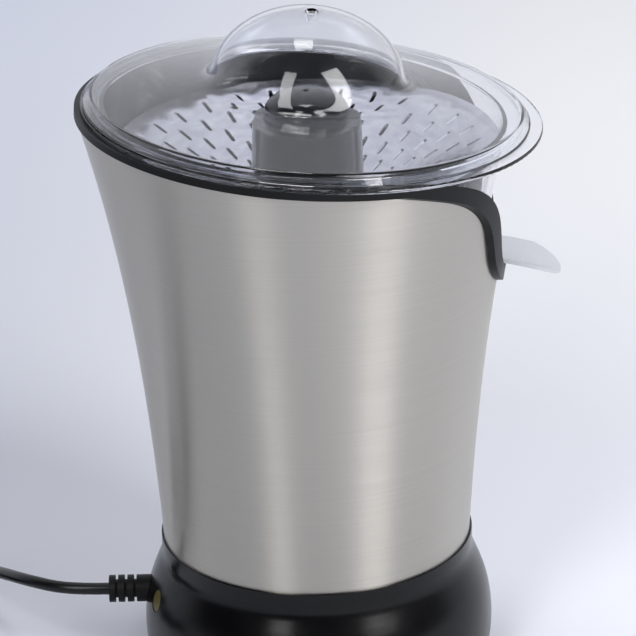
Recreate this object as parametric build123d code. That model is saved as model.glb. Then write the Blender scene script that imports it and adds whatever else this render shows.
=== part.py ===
from build123d import *
import math
import os

# Countertop citrus juicer: a flared steel body on a moulded base, with a geared motor inside, a clear bowl
# with a spout, a funnel strainer, a reamer that starts the motor when it is pressed, and a clear lid.
# Millimetres. +Z is up, +X points to the spout, and the origin is on the table under the drive axis.

# Overall
SLANT = 4.4                # the rim drops towards the spout by this angle
FIT_GAP = 0.2              # between pieces that seat in each other
SEAT_GAP = 0.1             # under a piece that rests on a flat seat
RUN_GAP = 0.06             # radial clearance of a running fit
SCREW_GAP = 0.2            # round a screw or rod in its hole

# Base
FOOT_H = 3.0
FOOT_INSET = 1.0
FOOT_W = 5.5
FOOT_CHAMFER = 0.8
BASE_BOTTOM_Z = 1.6
BASE_BOTTOM_R = 65.6
BASE_BULGE_R = 67.85
BASE_BULGE_Z = 15.6
BASE_CURVE = ((0.226, 0.204), (0.786, 0.551))   # how far out and down two points of the swell are
BASE_TUCK = 0.3
BASE_LIP_Z = 54.0
BASE_LIP_LAP = 3.5
BASE_WAIST_DROP = 1.8
BASE_LIP_WALL = 0.7
BASE_WALL = 2.6
SHELF_T = 3.0
SHELF_HOLE_R = 40.0
PLATE_T = 3.0
VENT_COUNT = 10
VENT_W = 2.4
VENT_LENGTH = 15.0

# Steel shell: a flare from a nearly straight foot to a wide rim
SHELL_FOOT_R = 59.25
SHELL_FOOT_FLARE = 0.060
SHELL_TOP_R = 86.62
SHELL_TOP_Z = 232.0
SHELL_TOP_FLARE = 0.2837
SHELL_WALL = 0.8

# Rim, notch and trim
TRIM_LOW_Z = 220.6
TRIM_H = 2.6
TRIM_PROUD = 2.4
TRIM_TUCK = 0.42
TRIM_WIDTH = 5.2
TRIM_LAP = 1.4
TRIM_DEPTH = 30.0
NOTCH_FLOOR_R = 35.1
NOTCH_BOTTOM_Z = 163.1
NOTCH_LEAN = 31.0
NOTCH_WALL_L = 11.5
NOTCH_SHOULDER_R = 70.0
NOTCH_MOUTH_LEAN = 72.0
NOTCH_MOUTH_EASE = 2.0     # the mouth leans less by this many degrees for each millimetre outwards
NOTCH_NEAR_X = 12.0

# Bowl
BOWL_INSET = 11.6
BOWL_TAPER = 10.5
BOWL_WALL = 1.8
BOWL_DEPTH = 52.6
FLANGE_INSET = 0.8
FLANGE_SHIFT = 1.9         # the flange is wider on the spout's side
FLANGE_T = 1.5
RIDGE_W = 1.2
RIDGE_H = 1.6
CHIMNEY_R = 8.0
CHIMNEY_WALL = 1.8
CHIMNEY_DROP = 4.0
OUTLET_W = 17.0
OUTLET_H = 9.0
OUTLET_L = 12.0
OUTLET_SILL = 0.4
SPOUT_W = 25.0
SPOUT_TIP_X = 94.7
SPOUT_BEND_R = 125.0
SPOUT_ROOT_SLOPE = 6.0
SPOUT_ARC = 30.0
SPOUT_T = 1.6
SPOUT_DISH_R = 42.0
LEDGE_W = 2.8
LEDGE_T = 2.0

# Well
WELL_GAP = 0.8
WELL_WALL = 2.0
DECK_DROP = 13.6
DECK_T = 3.0
DECK_BOSS_H = 8.0
DECK_BOSS_R = 5.5

# Lid: a thin cover with a leaning rim
LID_INSET = 2.7
LID_WALL = 1.3
LID_RIM_H = 4.1
LID_RIM_W = 3.3            # how far the rim's top lies inside its foot
LID_RIM_ROUND = 1.2
LID_FOOT_H = 0.5
LID_RISE = 6.1
DOME_R = 36.5
DOME_H = 28.3
DOME_FLARE_W = 5.5          # how far out the dome's foot runs into the plate
DOME_FLARE_START = 12.0     # where on the dome's ellipse, in degrees, the foot begins
VENT_HOLE_R = 1.7
VENT_TIP_R = 0.8
VENT_TUBE_H = 3.5
VENT_TUBE_WALL = 0.8

# Strainer
STRAINER_T = 0.8
STRAINER_DROP = 10.8
STRAINER_LIP_W = 3.0
STRAINER_FLOOR_R = 24.0
STRAINER_SLOPE = 27.0
STRAINER_BORE_R = 9.0
SLOT_RINGS = 5
SLOTS_PER_RING = 28
SLOT_LENGTH = 5.6
SLOT_W = 1.6
SLOT_EDGE_GAP = 6.6
SLOT_RING_STEP = 7.0

# Reamer, its hub and the drive
PRESS_TRAVEL = 1.5
SPINDLE_R = 4.0
SPINDLE_HEX = 6.6
ROD_R = 1.5
ROD_RISE = 2.5
HUB_R = 8.0
HUB_FLANGE_R = 12.5
HUB_FLANGE_T = 1.6
HUB_NECK_H = 1.4
HUB_KEYS = 3
HUB_KEY_W = 2.4
HUB_KEY_H = 1.2
HUB_DROP = 2.2
REAMER_CLEARANCE = 1.0
REAMER_FOOT_R = 20.9
REAMER_BODY_R = 20.3
REAMER_KNOB_R = 16.0
REAMER_TOP_RISE = 9.0      # the nose above the flange, then the knob and the ledge below the nose
REAMER_NOSE_H = 8.2
REAMER_KNOB_H = 11.3
REAMER_LEDGE_H = 0.9
REAMER_DIMPLE_R = 1.1
REAMER_DIMPLE_H = 0.8
REAMER_FLUTES = 9
REAMER_FLUTE_R = 6.0
REAMER_FLUTE_DEPTH = 0.6
REAMER_FLUTE_RISE = 3.0

# Gear train: two equal steps, so that the motor shaft lies on the drive axis
GEAR_MODULE = 0.8
WHEEL_TEETH = 60
PINION_TEETH = 15
PRESSURE_ANGLE = 20.0
GEAR_ADDENDUM = 0.8
GEAR_DEDENDUM = 1.1
BACKLASH = 0.16
GEAR_W = 9.0
GEAR_LEVEL_GAP = 22.0
IDLER_PIN_R = 2.5

# Motor, gear plate and posts
GEARBOX_H = 65.0
GEAR_PLATE_T = 3.0
GEAR_PLATE_R = 57.5
GEAR_RISE = 5.0
MOTOR_R = 31.0
MOTOR_LENGTH = 54.0
MOTOR_WALL = 1.4
MOTOR_CAP_T = 3.0
MOTOR_SHAFT_R = 3.0
STATOR_W = 5.0
ROTOR_GAP = 0.6
ROTOR_LENGTH = 26.0
WINDING_W = 5.0
BEARING_R = 7.0
BEARING_H = 7.0
FAN_R = 23.0
FAN_GAP = 2.0
FAN_H = 7.0
FAN_BLADES = 7
FAN_BLADE_T = 1.4
FAN_DISC_T = 1.2
MOTOR_SCREWS = 3
MOTOR_SCREW_CIRCLE_R = 22.0
SCREW_R = 1.5
SCREW_HEAD_R = 2.8
SCREW_HEAD_H = 1.8
POSTS = 4
POST_CIRCLE_R = 51.5
POST_R = 4.6
ROD_BOLT_R = 2.0
BOLT_HEAD_R = 3.6
BOLT_HEAD_H = 1.6
BUSH_WALL = 2.6
BUSH_FLANGE_R = 10.0
BUSH_LENGTH = 13.0
SEAL_H = 3.0

# Switch and its spring
SWITCH_L = 20.0
SWITCH_W = 6.4
SWITCH_H = 10.0
BUTTON_R = 2.0
BUTTON_H = 3.6
BRACKET_T = 1.5
SPRING_WIRE = 0.5
SPRING_R = 2.7
SPRING_TURNS = 5

# Cord, its gland and the pieces on it
CORD_D = 4.8
CORD_EXIT_Z = 28.4
GLAND_BORE_GAP = 0.1
GLAND_NECK_R = 4.4
GLAND_BOSS_R = 5.35
GLAND_CORE_R = 3.6
GLAND_FLANGE_T = 2.0
GLAND_BOSS_L = 4.3
GLAND_RIB_T = 2.4
GLAND_GROOVE_T = 1.2
GLAND_RIBS = 3
DISC_R = 4.2
DISC_T = 0.8
DISC_Z = 32.3
DISC_TURN = 17.0
COIL_CENTRE = (-181.0, 34.0)
COIL_R = 34.0
COIL_PITCH = 6.3
COIL_LIFT = 3.4
COIL_LAYER = 5.5
COIL_TAIL = 20.0
COIL_LOW_HALF_TURNS = 5
COIL_TOP_HALF_TURNS = 4
TIE_W = 9.0
TIE_T = 0.7
TIE_SLACK = 0.9
PLUG_LIFT = 0.3
PLUG_L = 34.0
PLUG_W = 25.0
PLUG_PIN_R = 2.0
PLUG_PIN_L = 19.0
PLUG_PIN_SPACING = 18.6
CLAMP_X = -52.0
CLAMP_SIZE = (6.0, 18.0)
CLAMP_ROOF = 2.5
CLAMP_SCREW_Y = 6.0
CLAMP_SCREW_L = 6.0
BLOCK_X = -40.0
BLOCK_SIZE = (11.0, 22.0, 13.0)

BASE = (Align.CENTER, Align.CENTER, Align.MIN)
TOP = (Align.CENTER, Align.CENTER, Align.MAX)
FAR = 400.0
SLOPE = math.tan(math.radians(SLANT))
SHELL_HIGH_Z = SHELL_TOP_Z + 8
FLANGE_Z = TRIM_LOW_Z + TRIM_H
FLANGE_R = SHELL_TOP_R - FLANGE_INSET
BOWL_R = SHELL_TOP_R - BOWL_INSET
BOWL_FOOT_R = BOWL_R - BOWL_TAPER
BOWL_FLOOR_Z = FLANGE_Z - BOWL_DEPTH
STRAINER_SEAT_Z = FLANGE_Z - STRAINER_DROP
LID_Z = FLANGE_Z + FLANGE_T + SEAT_GAP
LID_R = FLANGE_R - LID_INSET
LID_LEAN = LID_RIM_W / (LID_RIM_H - LID_FOOT_H)
HUB_TOP_Z = FLANGE_Z - HUB_DROP
REAMER_TOP_Z = FLANGE_Z + REAMER_TOP_RISE
PLATE_Z = FOOT_H
PLATE_TOP_Z = PLATE_Z + PLATE_T
PLATE_R = BASE_BOTTOM_R - BASE_WALL
SHELF_Z = BASE_LIP_Z - BASE_LIP_LAP
DECK_Z = BOWL_FLOOR_Z - DECK_DROP
DECK_LOW_Z = DECK_Z - DECK_T
GEAR_PLATE_Z = DECK_Z - GEARBOX_H
GEAR_CENTRES = GEAR_MODULE * (WHEEL_TEETH + PINION_TEETH) / 2
IDLER_AT = (0.0, GEAR_CENTRES)
FIRST_GEAR_Z = GEAR_PLATE_Z + GEAR_PLATE_T + GEAR_RISE
SECOND_GEAR_Z = FIRST_GEAR_Z + GEAR_W + GEAR_LEVEL_GAP
SPINDLE_LOW_Z = SECOND_GEAR_Z - 1.5


def rod(radius, low, high, at=(0, 0)):
    """A plain upright cylinder between two heights."""
    return Pos(at[0], at[1], low) * Cylinder(radius, high - low, align=BASE)


def tube(outer, inner, low, high, at=(0, 0)):
    """An upright cylinder with a bore right through it."""
    return rod(outer, low, high, at) - rod(inner, low - 1, high + 1, at)


def block(size, low, at=(0, 0)):
    """An upright box that stands on the given height."""
    return Pos(at[0], at[1], low) * Box(*size, align=BASE)


def spun(*edges):
    """A solid turned about Z from an outline of (radius, height) points."""
    return revolve(Plane.XZ * make_face(Curve() + list(edges)), Axis.Z)


def around(piece, count, start=0.0):
    """Copies of a piece spaced evenly about Z."""
    return [Rot(0, 0, start + 360 * i / count) * piece for i in range(count)]


def on_circle(radius, count, start):
    """Places spaced evenly on a circle about Z."""
    angles = [math.radians(start + 360 * i / count) for i in range(count)]
    return [(radius * math.cos(a), radius * math.sin(a)) for a in angles]


def below_slant(height):
    """Everything under the slanted plane that crosses the drive axis at a height."""
    return Pos(0, 0, height) * Rot(0, SLANT, 0) * Box(FAR, FAR, FAR, align=TOP)


def slanted(height):
    """The frame of the slanted rim at a height on the drive axis."""
    return Pos(0, 0, height) * Rot(0, SLANT, 0)


def shell_curve(grow):
    """The steel shell's flare, moved outwards by an amount, from its foot to its top."""
    span = SHELL_TOP_Z - SHELF_Z
    foot = SHELL_FOOT_R + grow
    top = SHELL_TOP_R + grow
    return Bezier(
        (foot, SHELF_Z),
        (foot + SHELL_FOOT_FLARE * span / 3, SHELF_Z + span / 3),
        (top - SHELL_TOP_FLARE * span / 3, SHELL_TOP_Z - span / 3),
        (top, SHELL_TOP_Z),
    )


def flare_band(grow_in, grow_out):
    """A band of the flared body between two offsets of the shell's outer face."""
    inner = shell_curve(grow_in)
    outer = shell_curve(grow_out)
    return spun(inner, outer, Line(inner @ 0, outer @ 0), Line(inner @ 1, outer @ 1))


def bowl_radius(height):
    """The bowl's outer radius at a height."""
    share = (height - BOWL_FLOOR_Z) / (FLANGE_Z - BOWL_FLOOR_Z)
    return BOWL_FOOT_R + (BOWL_R - BOWL_FOOT_R) * share


def bowl_cone(grow, low, high):
    """A solid cone on the bowl's outer face, moved outwards by an amount."""
    pts = [(0, low), (bowl_radius(low) + grow, low), (bowl_radius(high) + grow, high), (0, high)]
    return spun(Polyline(*pts, close=True))


def notch(grow):
    """The front notch as a prism along X, wider by an amount: a round floor, leaning walls, a wide mouth."""
    lean = math.radians(NOTCH_LEAN)
    mouth_lean = math.radians(NOTCH_MOUTH_LEAN - NOTCH_MOUTH_EASE * grow)
    centre_z = NOTCH_BOTTOM_Z + NOTCH_FLOOR_R
    floor_r = NOTCH_FLOOR_R + grow
    shoulder_r = NOTCH_SHOULDER_R - grow
    foot = Vector(floor_r * math.cos(lean), centre_z - floor_r * math.sin(lean))
    bend = foot + Vector(math.sin(lean), math.cos(lean)) * NOTCH_WALL_L
    hub = bend + Vector(math.cos(lean), -math.sin(lean)) * shoulder_r
    middle = (lean + mouth_lean) / 2
    edges = [ThreePointArc((-foot.X, foot.Y), (0, NOTCH_BOTTOM_Z - grow), foot)]
    for side in (-1, 1):
        on_arc = [hub + Vector(-math.cos(a), math.sin(a)) * shoulder_r for a in (lean, middle, mouth_lean)]
        far = on_arc[2] + Vector(math.sin(mouth_lean), math.cos(mouth_lean)) * SHELL_TOP_R
        path = [(side * p.X, p.Y) for p in [foot] + on_arc + [far]]
        edges.append(Line(path[0], path[1]))
        edges.append(ThreePointArc(path[1], path[2], path[3]))
        edges.append(Line(path[3], path[4]))
    edges.append(Line((-far.X, far.Y), far))
    return extrude(Plane.YZ.offset(NOTCH_NEAR_X) * make_face(Curve() + edges), 2 * FLANGE_R)


def tooth_points(teeth, phase):
    """A spur gear's outline: involute flanks, with the first tooth centred on the phase angle in degrees."""
    pitch_r = GEAR_MODULE * teeth / 2
    base_r = pitch_r * math.cos(math.radians(PRESSURE_ANGLE))
    tip_r = pitch_r + GEAR_ADDENDUM * GEAR_MODULE
    root_r = pitch_r - GEAR_DEDENDUM * GEAR_MODULE
    pitch_roll = math.tan(math.radians(PRESSURE_ANGLE))
    half_tooth = (math.pi * GEAR_MODULE / 2 - BACKLASH) / (2 * pitch_r)
    start_r = max(base_r, root_r)
    flank = []
    for i in range(4):
        radius = start_r + (tip_r - start_r) * i / 3
        roll = math.sqrt(max((radius / base_r) ** 2 - 1, 0))
        drift = (roll - math.atan(roll)) - (pitch_roll - math.radians(PRESSURE_ANGLE))
        flank.append((radius, half_tooth - drift))
    if root_r < base_r:
        flank.insert(0, (root_r, flank[0][1]))
    points = []
    for i in range(teeth):
        middle = math.radians(phase) + 2 * math.pi * i / teeth
        for radius, half in flank:
            points.append((radius * math.cos(middle - half), radius * math.sin(middle - half)))
        for radius, half in reversed(flank):
            points.append((radius * math.cos(middle + half), radius * math.sin(middle + half)))
    return points


def gear(teeth, phase, low, high, at=(0, 0)):
    """A spur gear between two heights."""
    face = make_face(Polyline(*tooth_points(teeth, phase), close=True))
    return Pos(at[0], at[1], low) * extrude(face, high - low)


def screw(low, at):
    """A pan-head screw standing head down on the given height."""
    length = GEAR_PLATE_T + MOTOR_CAP_T - SCREW_GAP
    return rod(SCREW_HEAD_R, low, low + SCREW_HEAD_H, at) + rod(SCREW_R, low - length, low, at)


def largest_radii(points, share=0.45):
    """The largest bend that each corner of a cord's route has room for."""
    radii = []
    for before, corner, after in zip(points, points[1:], points[2:]):
        first = Vector(*corner) - Vector(*before)
        second = Vector(*after) - Vector(*corner)
        half_turn = math.radians(first.get_angle(second)) / 2
        radii.append(share * min(first.length, second.length) / math.tan(half_turn))
    return radii


def swept(path, radius):
    """A round tube along a path."""
    return sweep(Plane(path @ 0, z_dir=path % 0) * Circle(radius), path=path)


def least_self_gap(path, diameter, count=700):
    """The least clear gap between stretches of one tube, measured on points along it."""
    points = [path @ (i / count) for i in range(count + 1)]
    step = path.length / count
    apart = int(math.pi * diameter / step)
    gaps = []
    for i in range(count + 1):
        for j in range(i + apart, count + 1):
            gaps.append((points[i] - points[j]).length)
    return min(gaps) - diameter


def base_seat_radius():
    """The radius of the seat that the steel shell's foot stands in."""
    return SHELL_FOOT_R + SHELL_FOOT_FLARE * BASE_LIP_LAP + FIT_GAP


def base_skin(inset):
    """The base's bulged outline from its waist to its bottom edge, moved inwards by an amount."""
    lip_r = base_seat_radius() + BASE_LIP_WALL
    waist_z = SHELF_Z - BASE_WAIST_DROP
    points = [(lip_r, waist_z)]
    for out, down in BASE_CURVE:
        points.append((lip_r + out * (BASE_BULGE_R - lip_r), waist_z - down * (waist_z - BASE_BULGE_Z)))
    points += [(BASE_BULGE_R, BASE_BULGE_Z), (BASE_BOTTOM_R, BASE_BOTTOM_Z)]
    return Spline(*[(r - inset, z) for r, z in points], tangents=[(0, -1), (-BASE_TUCK, -1)])


def base_body(inset, high):
    """The base's outer form as a plain solid up to a height, moved inwards by an amount."""
    skin = base_skin(inset)
    top = (skin @ 0).X
    return spun(
        skin,
        Line(skin @ 0, (top, high)),
        Line((top, high), (0, high)),
        Line((0, high), (0, BASE_BOTTOM_Z)),
        Line((0, BASE_BOTTOM_Z), skin @ 1),
    )


def skin_place(height):
    """The base's outer radius at a height, and the angle by which its skin faces upwards there."""
    skin = base_skin(0)
    low, high = 0.0, 1.0
    for _ in range(30):
        middle = (low + high) / 2
        if (skin @ middle).Y > height:
            low = middle
        else:
            high = middle
    way = skin % low
    return (skin @ low).X, math.degrees(math.atan2(way.X, -way.Y))


def make_base():
    """The moulded base with its shelf, post bosses, plate recess and cord hole."""
    room_top = SHELF_Z - SHELF_T
    room = base_body(BASE_WALL, SHELF_Z) & rod(FAR / 2, BASE_BOTTOM_Z, room_top)
    base = base_body(0, BASE_LIP_Z) - room - rod(base_seat_radius(), SHELF_Z, BASE_LIP_Z)
    base -= rod(SHELF_HOLE_R, room_top - 1, SHELF_Z)
    for at in on_circle(POST_CIRCLE_R, POSTS, 45):
        base += rod(POST_R, PLATE_TOP_Z, SHELF_Z, at)
        base -= rod(ROD_BOLT_R + SCREW_GAP, PLATE_Z, SHELF_Z + 1, at)
    base -= rod(PLATE_R + FIT_GAP, BASE_BOTTOM_Z, PLATE_TOP_Z)
    cord_hole = along_x(GLAND_NECK_R + FIT_GAP, -BASE_BULGE_R - 1, CLAMP_X)
    return base - cord_hole - rating_disc_frame() * Cylinder(DISC_R + FIT_GAP, DISC_T * 2)


def rating_disc_frame():
    """The frame of the small bare disc set in the base's skin, in front of the gland."""
    radius, lean = skin_place(DISC_Z)
    return Rot(0, 0, 180 + DISC_TURN) * Pos(radius - DISC_T / 2, 0, DISC_Z) * Rot(0, 90 - lean, 0)


def make_rating_disc():
    """A bare disc in its recess, nearly flush with the base's skin."""
    return rating_disc_frame() * Pos(0, 0, -DISC_T) * Cylinder(DISC_R, DISC_T, align=BASE)


def make_bottom_plate():
    """The bottom plate with vents, rod holes and the pillars under the clamp and the terminal block."""
    plate = rod(PLATE_R, PLATE_Z, PLATE_TOP_Z)
    vent = block((VENT_LENGTH, VENT_W, PLATE_T + 2), PLATE_Z - 1, (FAN_R - VENT_LENGTH / 4, 0))
    for slot in around(vent, VENT_COUNT, 9):
        plate -= slot
    for at in on_circle(POST_CIRCLE_R, POSTS, 45):
        plate -= rod(ROD_BOLT_R + SCREW_GAP, PLATE_Z - 1, PLATE_TOP_Z + 1, at)
        plate -= rod(BOLT_HEAD_R + SCREW_GAP, PLATE_Z - 1, PLATE_Z + BOLT_HEAD_H, at)
    lead_low = CORD_EXIT_Z - CORD_D / 2 - FIT_GAP
    plate += block((*CLAMP_SIZE, lead_low - PLATE_TOP_Z), PLATE_TOP_Z, (CLAMP_X, 0))
    pillar_h = CORD_EXIT_Z - BLOCK_SIZE[2] / 2 - PLATE_TOP_Z
    plate += block((BLOCK_SIZE[0], BLOCK_SIZE[1], pillar_h), PLATE_TOP_Z, (BLOCK_X, 0))
    for side in (-1, 1):
        plate -= rod(SCREW_R, lead_low - CLAMP_SCREW_L - 2, lead_low + 1, (CLAMP_X, side * CLAMP_SCREW_Y))
    return plate


def make_foot_ring():
    """The rubber ring under the bottom plate's edge, chamfered at the ground."""
    outer = PLATE_R - FOOT_INSET
    ring = tube(outer, outer - FOOT_W, 0, FOOT_H)
    return chamfer(ring.edges().group_by(Axis.Z)[0], FOOT_CHAMFER)


def make_steel_shell():
    """The flared steel shell, cut on the slant under the trim and round the notch."""
    shell = flare_band(-SHELL_WALL, 0) & below_slant(TRIM_LOW_Z + TRIM_LAP)
    return shell - notch(TRIM_WIDTH - TRIM_LAP)


def make_inner_well():
    """The black well behind the bowl, with its deck, bosses and the notch."""
    low = DECK_LOW_Z
    well = bowl_cone(WELL_GAP + WELL_WALL, low, SHELL_HIGH_Z) - bowl_cone(WELL_GAP, DECK_Z, SHELL_HIGH_Z + 1)
    well = (well & below_slant(FLANGE_Z)) - notch(0)
    for at in on_circle(POST_CIRCLE_R, POSTS, 45):
        well += rod(DECK_BOSS_R, low - DECK_BOSS_H, low, at)
        well -= rod(ROD_BOLT_R + RUN_GAP, low - DECK_BOSS_H - 1, low, at)
    well += rod(DECK_BOSS_R, low - DECK_BOSS_H, low, IDLER_AT)
    well -= rod(IDLER_PIN_R, low - DECK_BOSS_H - 1, low, IDLER_AT)
    return well - rod(SPINDLE_R + RUN_GAP + BUSH_WALL, low - 1, DECK_Z + 1)


def make_trim(shell):
    """The black trim: a slanted rim band, drawn in at the back, that dips to frame the notch."""
    band = flare_band(-TRIM_DEPTH, TRIM_PROUD) & slanted(TRIM_LOW_Z) * rod(SHELL_TOP_R - TRIM_TUCK, -FAR, FAR)
    band -= bowl_cone(WELL_GAP + WELL_WALL + FIT_GAP, SHELF_Z, SHELL_HIGH_Z)
    slab = below_slant(FLANGE_Z) - below_slant(TRIM_LOW_Z)
    frame = notch(TRIM_WIDTH) & below_slant(FLANGE_Z)
    trim = (band & slab) + (band & frame)
    return trim - notch(0) - shell


def make_spout():
    """The pouring lip: dished across, bent down along its length and rounded at its nose."""
    root = math.radians(SPOUT_ROOT_SLOPE)
    front_x = bowl_radius(BOWL_FLOOR_Z) - BOWL_WALL
    floor = BOWL_FLOOR_Z - SLOPE * front_x + BOWL_WALL
    centre = Vector(front_x - SPOUT_BEND_R * math.sin(root), 0, floor - SPOUT_BEND_R * math.cos(root))
    half = SPOUT_W / 2
    sag = SPOUT_DISH_R - math.sqrt(SPOUT_DISH_R ** 2 - half ** 2)
    low = SPOUT_BEND_R - SPOUT_T
    section = make_face(Curve() + [
        ThreePointArc((-half, SPOUT_BEND_R + sag), (0, SPOUT_BEND_R), (half, SPOUT_BEND_R + sag)),
        Line((half, SPOUT_BEND_R + sag), (half, low + sag)),
        ThreePointArc((half, low + sag), (0, low), (-half, low + sag)),
        Line((-half, low + sag), (-half, SPOUT_BEND_R + sag)),
    ])
    turned = Plane(centre, x_dir=(0, 1, 0), z_dir=(1, 0, 0)) * section
    lip = revolve(turned, Axis(centre, (0, 1, 0)), SPOUT_ARC)
    reach = SPOUT_TIP_X - front_x
    wide = half + 2 * FIT_GAP
    nose = make_face(Curve() + [
        Line((0, -wide), (reach - half, -wide)),
        ThreePointArc((reach - half, -wide), (reach, 0), (reach - half, wide)),
        Line((reach - half, wide), (0, wide)),
        Line((0, wide), (0, -wide)),
    ])
    plan = Pos(front_x - FIT_GAP, 0, floor - FAR / 8) * extrude(nose, FAR / 4)
    return lip & plan


def lid_inside_r(z):
    """The inner radius of the lid's leaning rim at a height above its seat."""
    return LID_R + LID_LEAN * (LID_FOOT_H - z) - LID_WALL * math.hypot(1, LID_LEAN)


def make_bowl():
    """The clear bowl: slanted floor and flange, strainer ledge, chimney, outlet and spout."""
    low = BOWL_FLOOR_Z - BOWL_R * SLOPE - 2
    high = FLANGE_Z + FLANGE_R * SLOPE + 2
    outside = bowl_cone(0, low, high) - below_slant(BOWL_FLOOR_Z)
    cup = outside & below_slant(FLANGE_Z + FLANGE_T)
    cavity = bowl_cone(-BOWL_WALL, low, high) - below_slant(BOWL_FLOOR_Z + BOWL_WALL)
    flange = slanted(FLANGE_Z) * rod(FLANGE_R, 0, FLANGE_T, (FLANGE_SHIFT, 0))
    flange = fillet(flange.edges().filter_by(GeomType.CIRCLE), FLANGE_T * 0.3)
    ridge_r = lid_inside_r(RIDGE_H) - 2 * FIT_GAP
    flange += slanted(FLANGE_Z) * tube(ridge_r, ridge_r - RIDGE_W, FLANGE_T / 2, FLANGE_T + RIDGE_H)
    ledge_out = bowl_radius(STRAINER_SEAT_Z) - BOWL_WALL / 2
    ledge = tube(ledge_out, strainer_radius() - LEDGE_W, STRAINER_SEAT_Z - LEDGE_T, STRAINER_SEAT_Z)
    bowl = cup + flange - cavity + ledge
    chimney_top = chimney_top_z()
    chimney = rod(CHIMNEY_R, low, chimney_top) - below_slant(BOWL_FLOOR_Z + BOWL_WALL / 2)
    bowl += chimney
    bowl -= rod(CHIMNEY_R - CHIMNEY_WALL, low, chimney_top + 1)
    front_x = bowl_radius(BOWL_FLOOR_Z)
    floor = BOWL_FLOOR_Z - SLOPE * front_x + BOWL_WALL
    outlet = block((OUTLET_L, OUTLET_W, OUTLET_H), floor + OUTLET_SILL, (front_x, 0))
    return bowl + make_spout() - outlet


def chimney_top_z():
    """The top of the chimney round the spindle, below the reamer's hub."""
    return strainer_floor() - CHIMNEY_DROP


def strainer_radius():
    """The strainer's outer radius: the bowl's inside at the seat, less a fitting gap."""
    return bowl_radius(STRAINER_SEAT_Z) - BOWL_WALL - 2 * FIT_GAP


def strainer_floor():
    """The height of the flat floor in the middle of the strainer."""
    run = strainer_radius() - STRAINER_LIP_W - STRAINER_FLOOR_R
    return STRAINER_SEAT_Z + SEAT_GAP - run * math.tan(math.radians(STRAINER_SLOPE))


def make_strainer():
    """The steel strainer: a lip, a slotted funnel and a flat floor with a collared bore."""
    lip = strainer_radius()
    edge = lip - STRAINER_LIP_W
    seat = STRAINER_SEAT_Z + SEAT_GAP
    floor = strainer_floor()
    t = STRAINER_T
    steel = spun(Polyline(
        (STRAINER_BORE_R, floor), (STRAINER_FLOOR_R, floor), (edge, seat), (lip, seat),
        (lip, seat + t), (edge - t / 2, seat + t), (STRAINER_FLOOR_R - t / 2, floor + t),
        (STRAINER_BORE_R, floor + t),
        close=True,
    ))
    slots = []
    for ring in range(SLOT_RINGS):
        slot = extrude(SlotOverall(SLOT_LENGTH, SLOT_W), FAR / 2)
        slot = Pos(edge - SLOT_EDGE_GAP - ring * SLOT_RING_STEP, 0, floor - 5) * slot
        slots += around(slot, SLOTS_PER_RING, (ring % 2) * 180 / SLOTS_PER_RING)
    return steel - slots


def hexagon_rod(across, low, high):
    """A six-sided rod, its flats a given distance apart."""
    return Pos(0, 0, low) * extrude(RegularPolygon(across / 2, 6, major_radius=False), high - low)


def hub_levels():
    """The hub's flange seat, its flange top and the reamer's lower edge, from the strainer up."""
    seat = strainer_floor() + STRAINER_T + SEAT_GAP
    flange_top = seat + HUB_FLANGE_T
    return seat, flange_top, flange_top + PRESS_TRAVEL + REAMER_CLEARANCE


def make_reamer_hub():
    """The keyed sleeve that turns in the strainer's bore, driven by the spindle's hexagon."""
    seat, flange_top, _ = hub_levels()
    neck_low = strainer_floor() - HUB_NECK_H
    hub = rod(STRAINER_BORE_R - FIT_GAP * 2, neck_low, seat) + rod(HUB_FLANGE_R, seat, flange_top)
    hub += rod(HUB_R, flange_top, HUB_TOP_Z)
    key = block((HUB_KEY_H * 2, HUB_KEY_W, HUB_TOP_Z - flange_top), flange_top, (HUB_R, 0))
    for one in around(key, HUB_KEYS):
        hub += one
    return hub - hexagon_rod(SPINDLE_HEX + 2 * FIT_GAP, neck_low - 1, HUB_TOP_Z + 1)


def rod_top_z():
    """The top of the push rod, just under the reamer's ceiling."""
    return HUB_TOP_Z + PRESS_TRAVEL + ROD_RISE


def make_reamer():
    """The reamer: a fluted column with a blunt knob on top, its socket keyed to slide on the hub."""
    _, _, low = hub_levels()
    ceiling = rod_top_z() + SEAT_GAP
    knob_low = REAMER_TOP_Z - REAMER_KNOB_H
    shoulder = (REAMER_BODY_R, knob_low - REAMER_LEDGE_H)
    nose = (REAMER_KNOB_R, REAMER_TOP_Z - REAMER_NOSE_H)
    bore = HUB_R + FIT_GAP
    body = spun(
        Line((bore, low), (REAMER_FOOT_R, low)),
        Line((REAMER_FOOT_R, low), shoulder),
        Line(shoulder, (REAMER_KNOB_R, knob_low)),
        Line((REAMER_KNOB_R, knob_low), nose),
        Spline(nose, (0, REAMER_TOP_Z), tangents=[(-0.2, 1), (-1, 0)]),
        Line((0, REAMER_TOP_Z), (0, ceiling)),
        Line((0, ceiling), (bore, ceiling)),
        Line((bore, ceiling), (bore, low)),
    )
    key_size = (2 * (HUB_KEY_H + FIT_GAP), HUB_KEY_W + 2 * FIT_GAP, ceiling - low + 1)
    for one in around(block(key_size, low - 1, (HUB_R, 0)), HUB_KEYS):
        body -= one
    body -= rod(REAMER_DIMPLE_R, REAMER_TOP_Z - REAMER_DIMPLE_H, REAMER_TOP_Z + 1)
    lean = math.degrees(math.atan2(REAMER_FOOT_R - REAMER_BODY_R, shoulder[1] - low))
    flute_x = REAMER_FOOT_R + REAMER_FLUTE_R - REAMER_FLUTE_DEPTH
    flute = Rot(0, -lean, 0) * Cylinder(REAMER_FLUTE_R, REAMER_TOP_Z - low, align=BASE)
    for one in around(Pos(flute_x, 0, low + REAMER_FLUTE_RISE) * flute, REAMER_FLUTES, 90):
        body -= one
    return body


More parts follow.
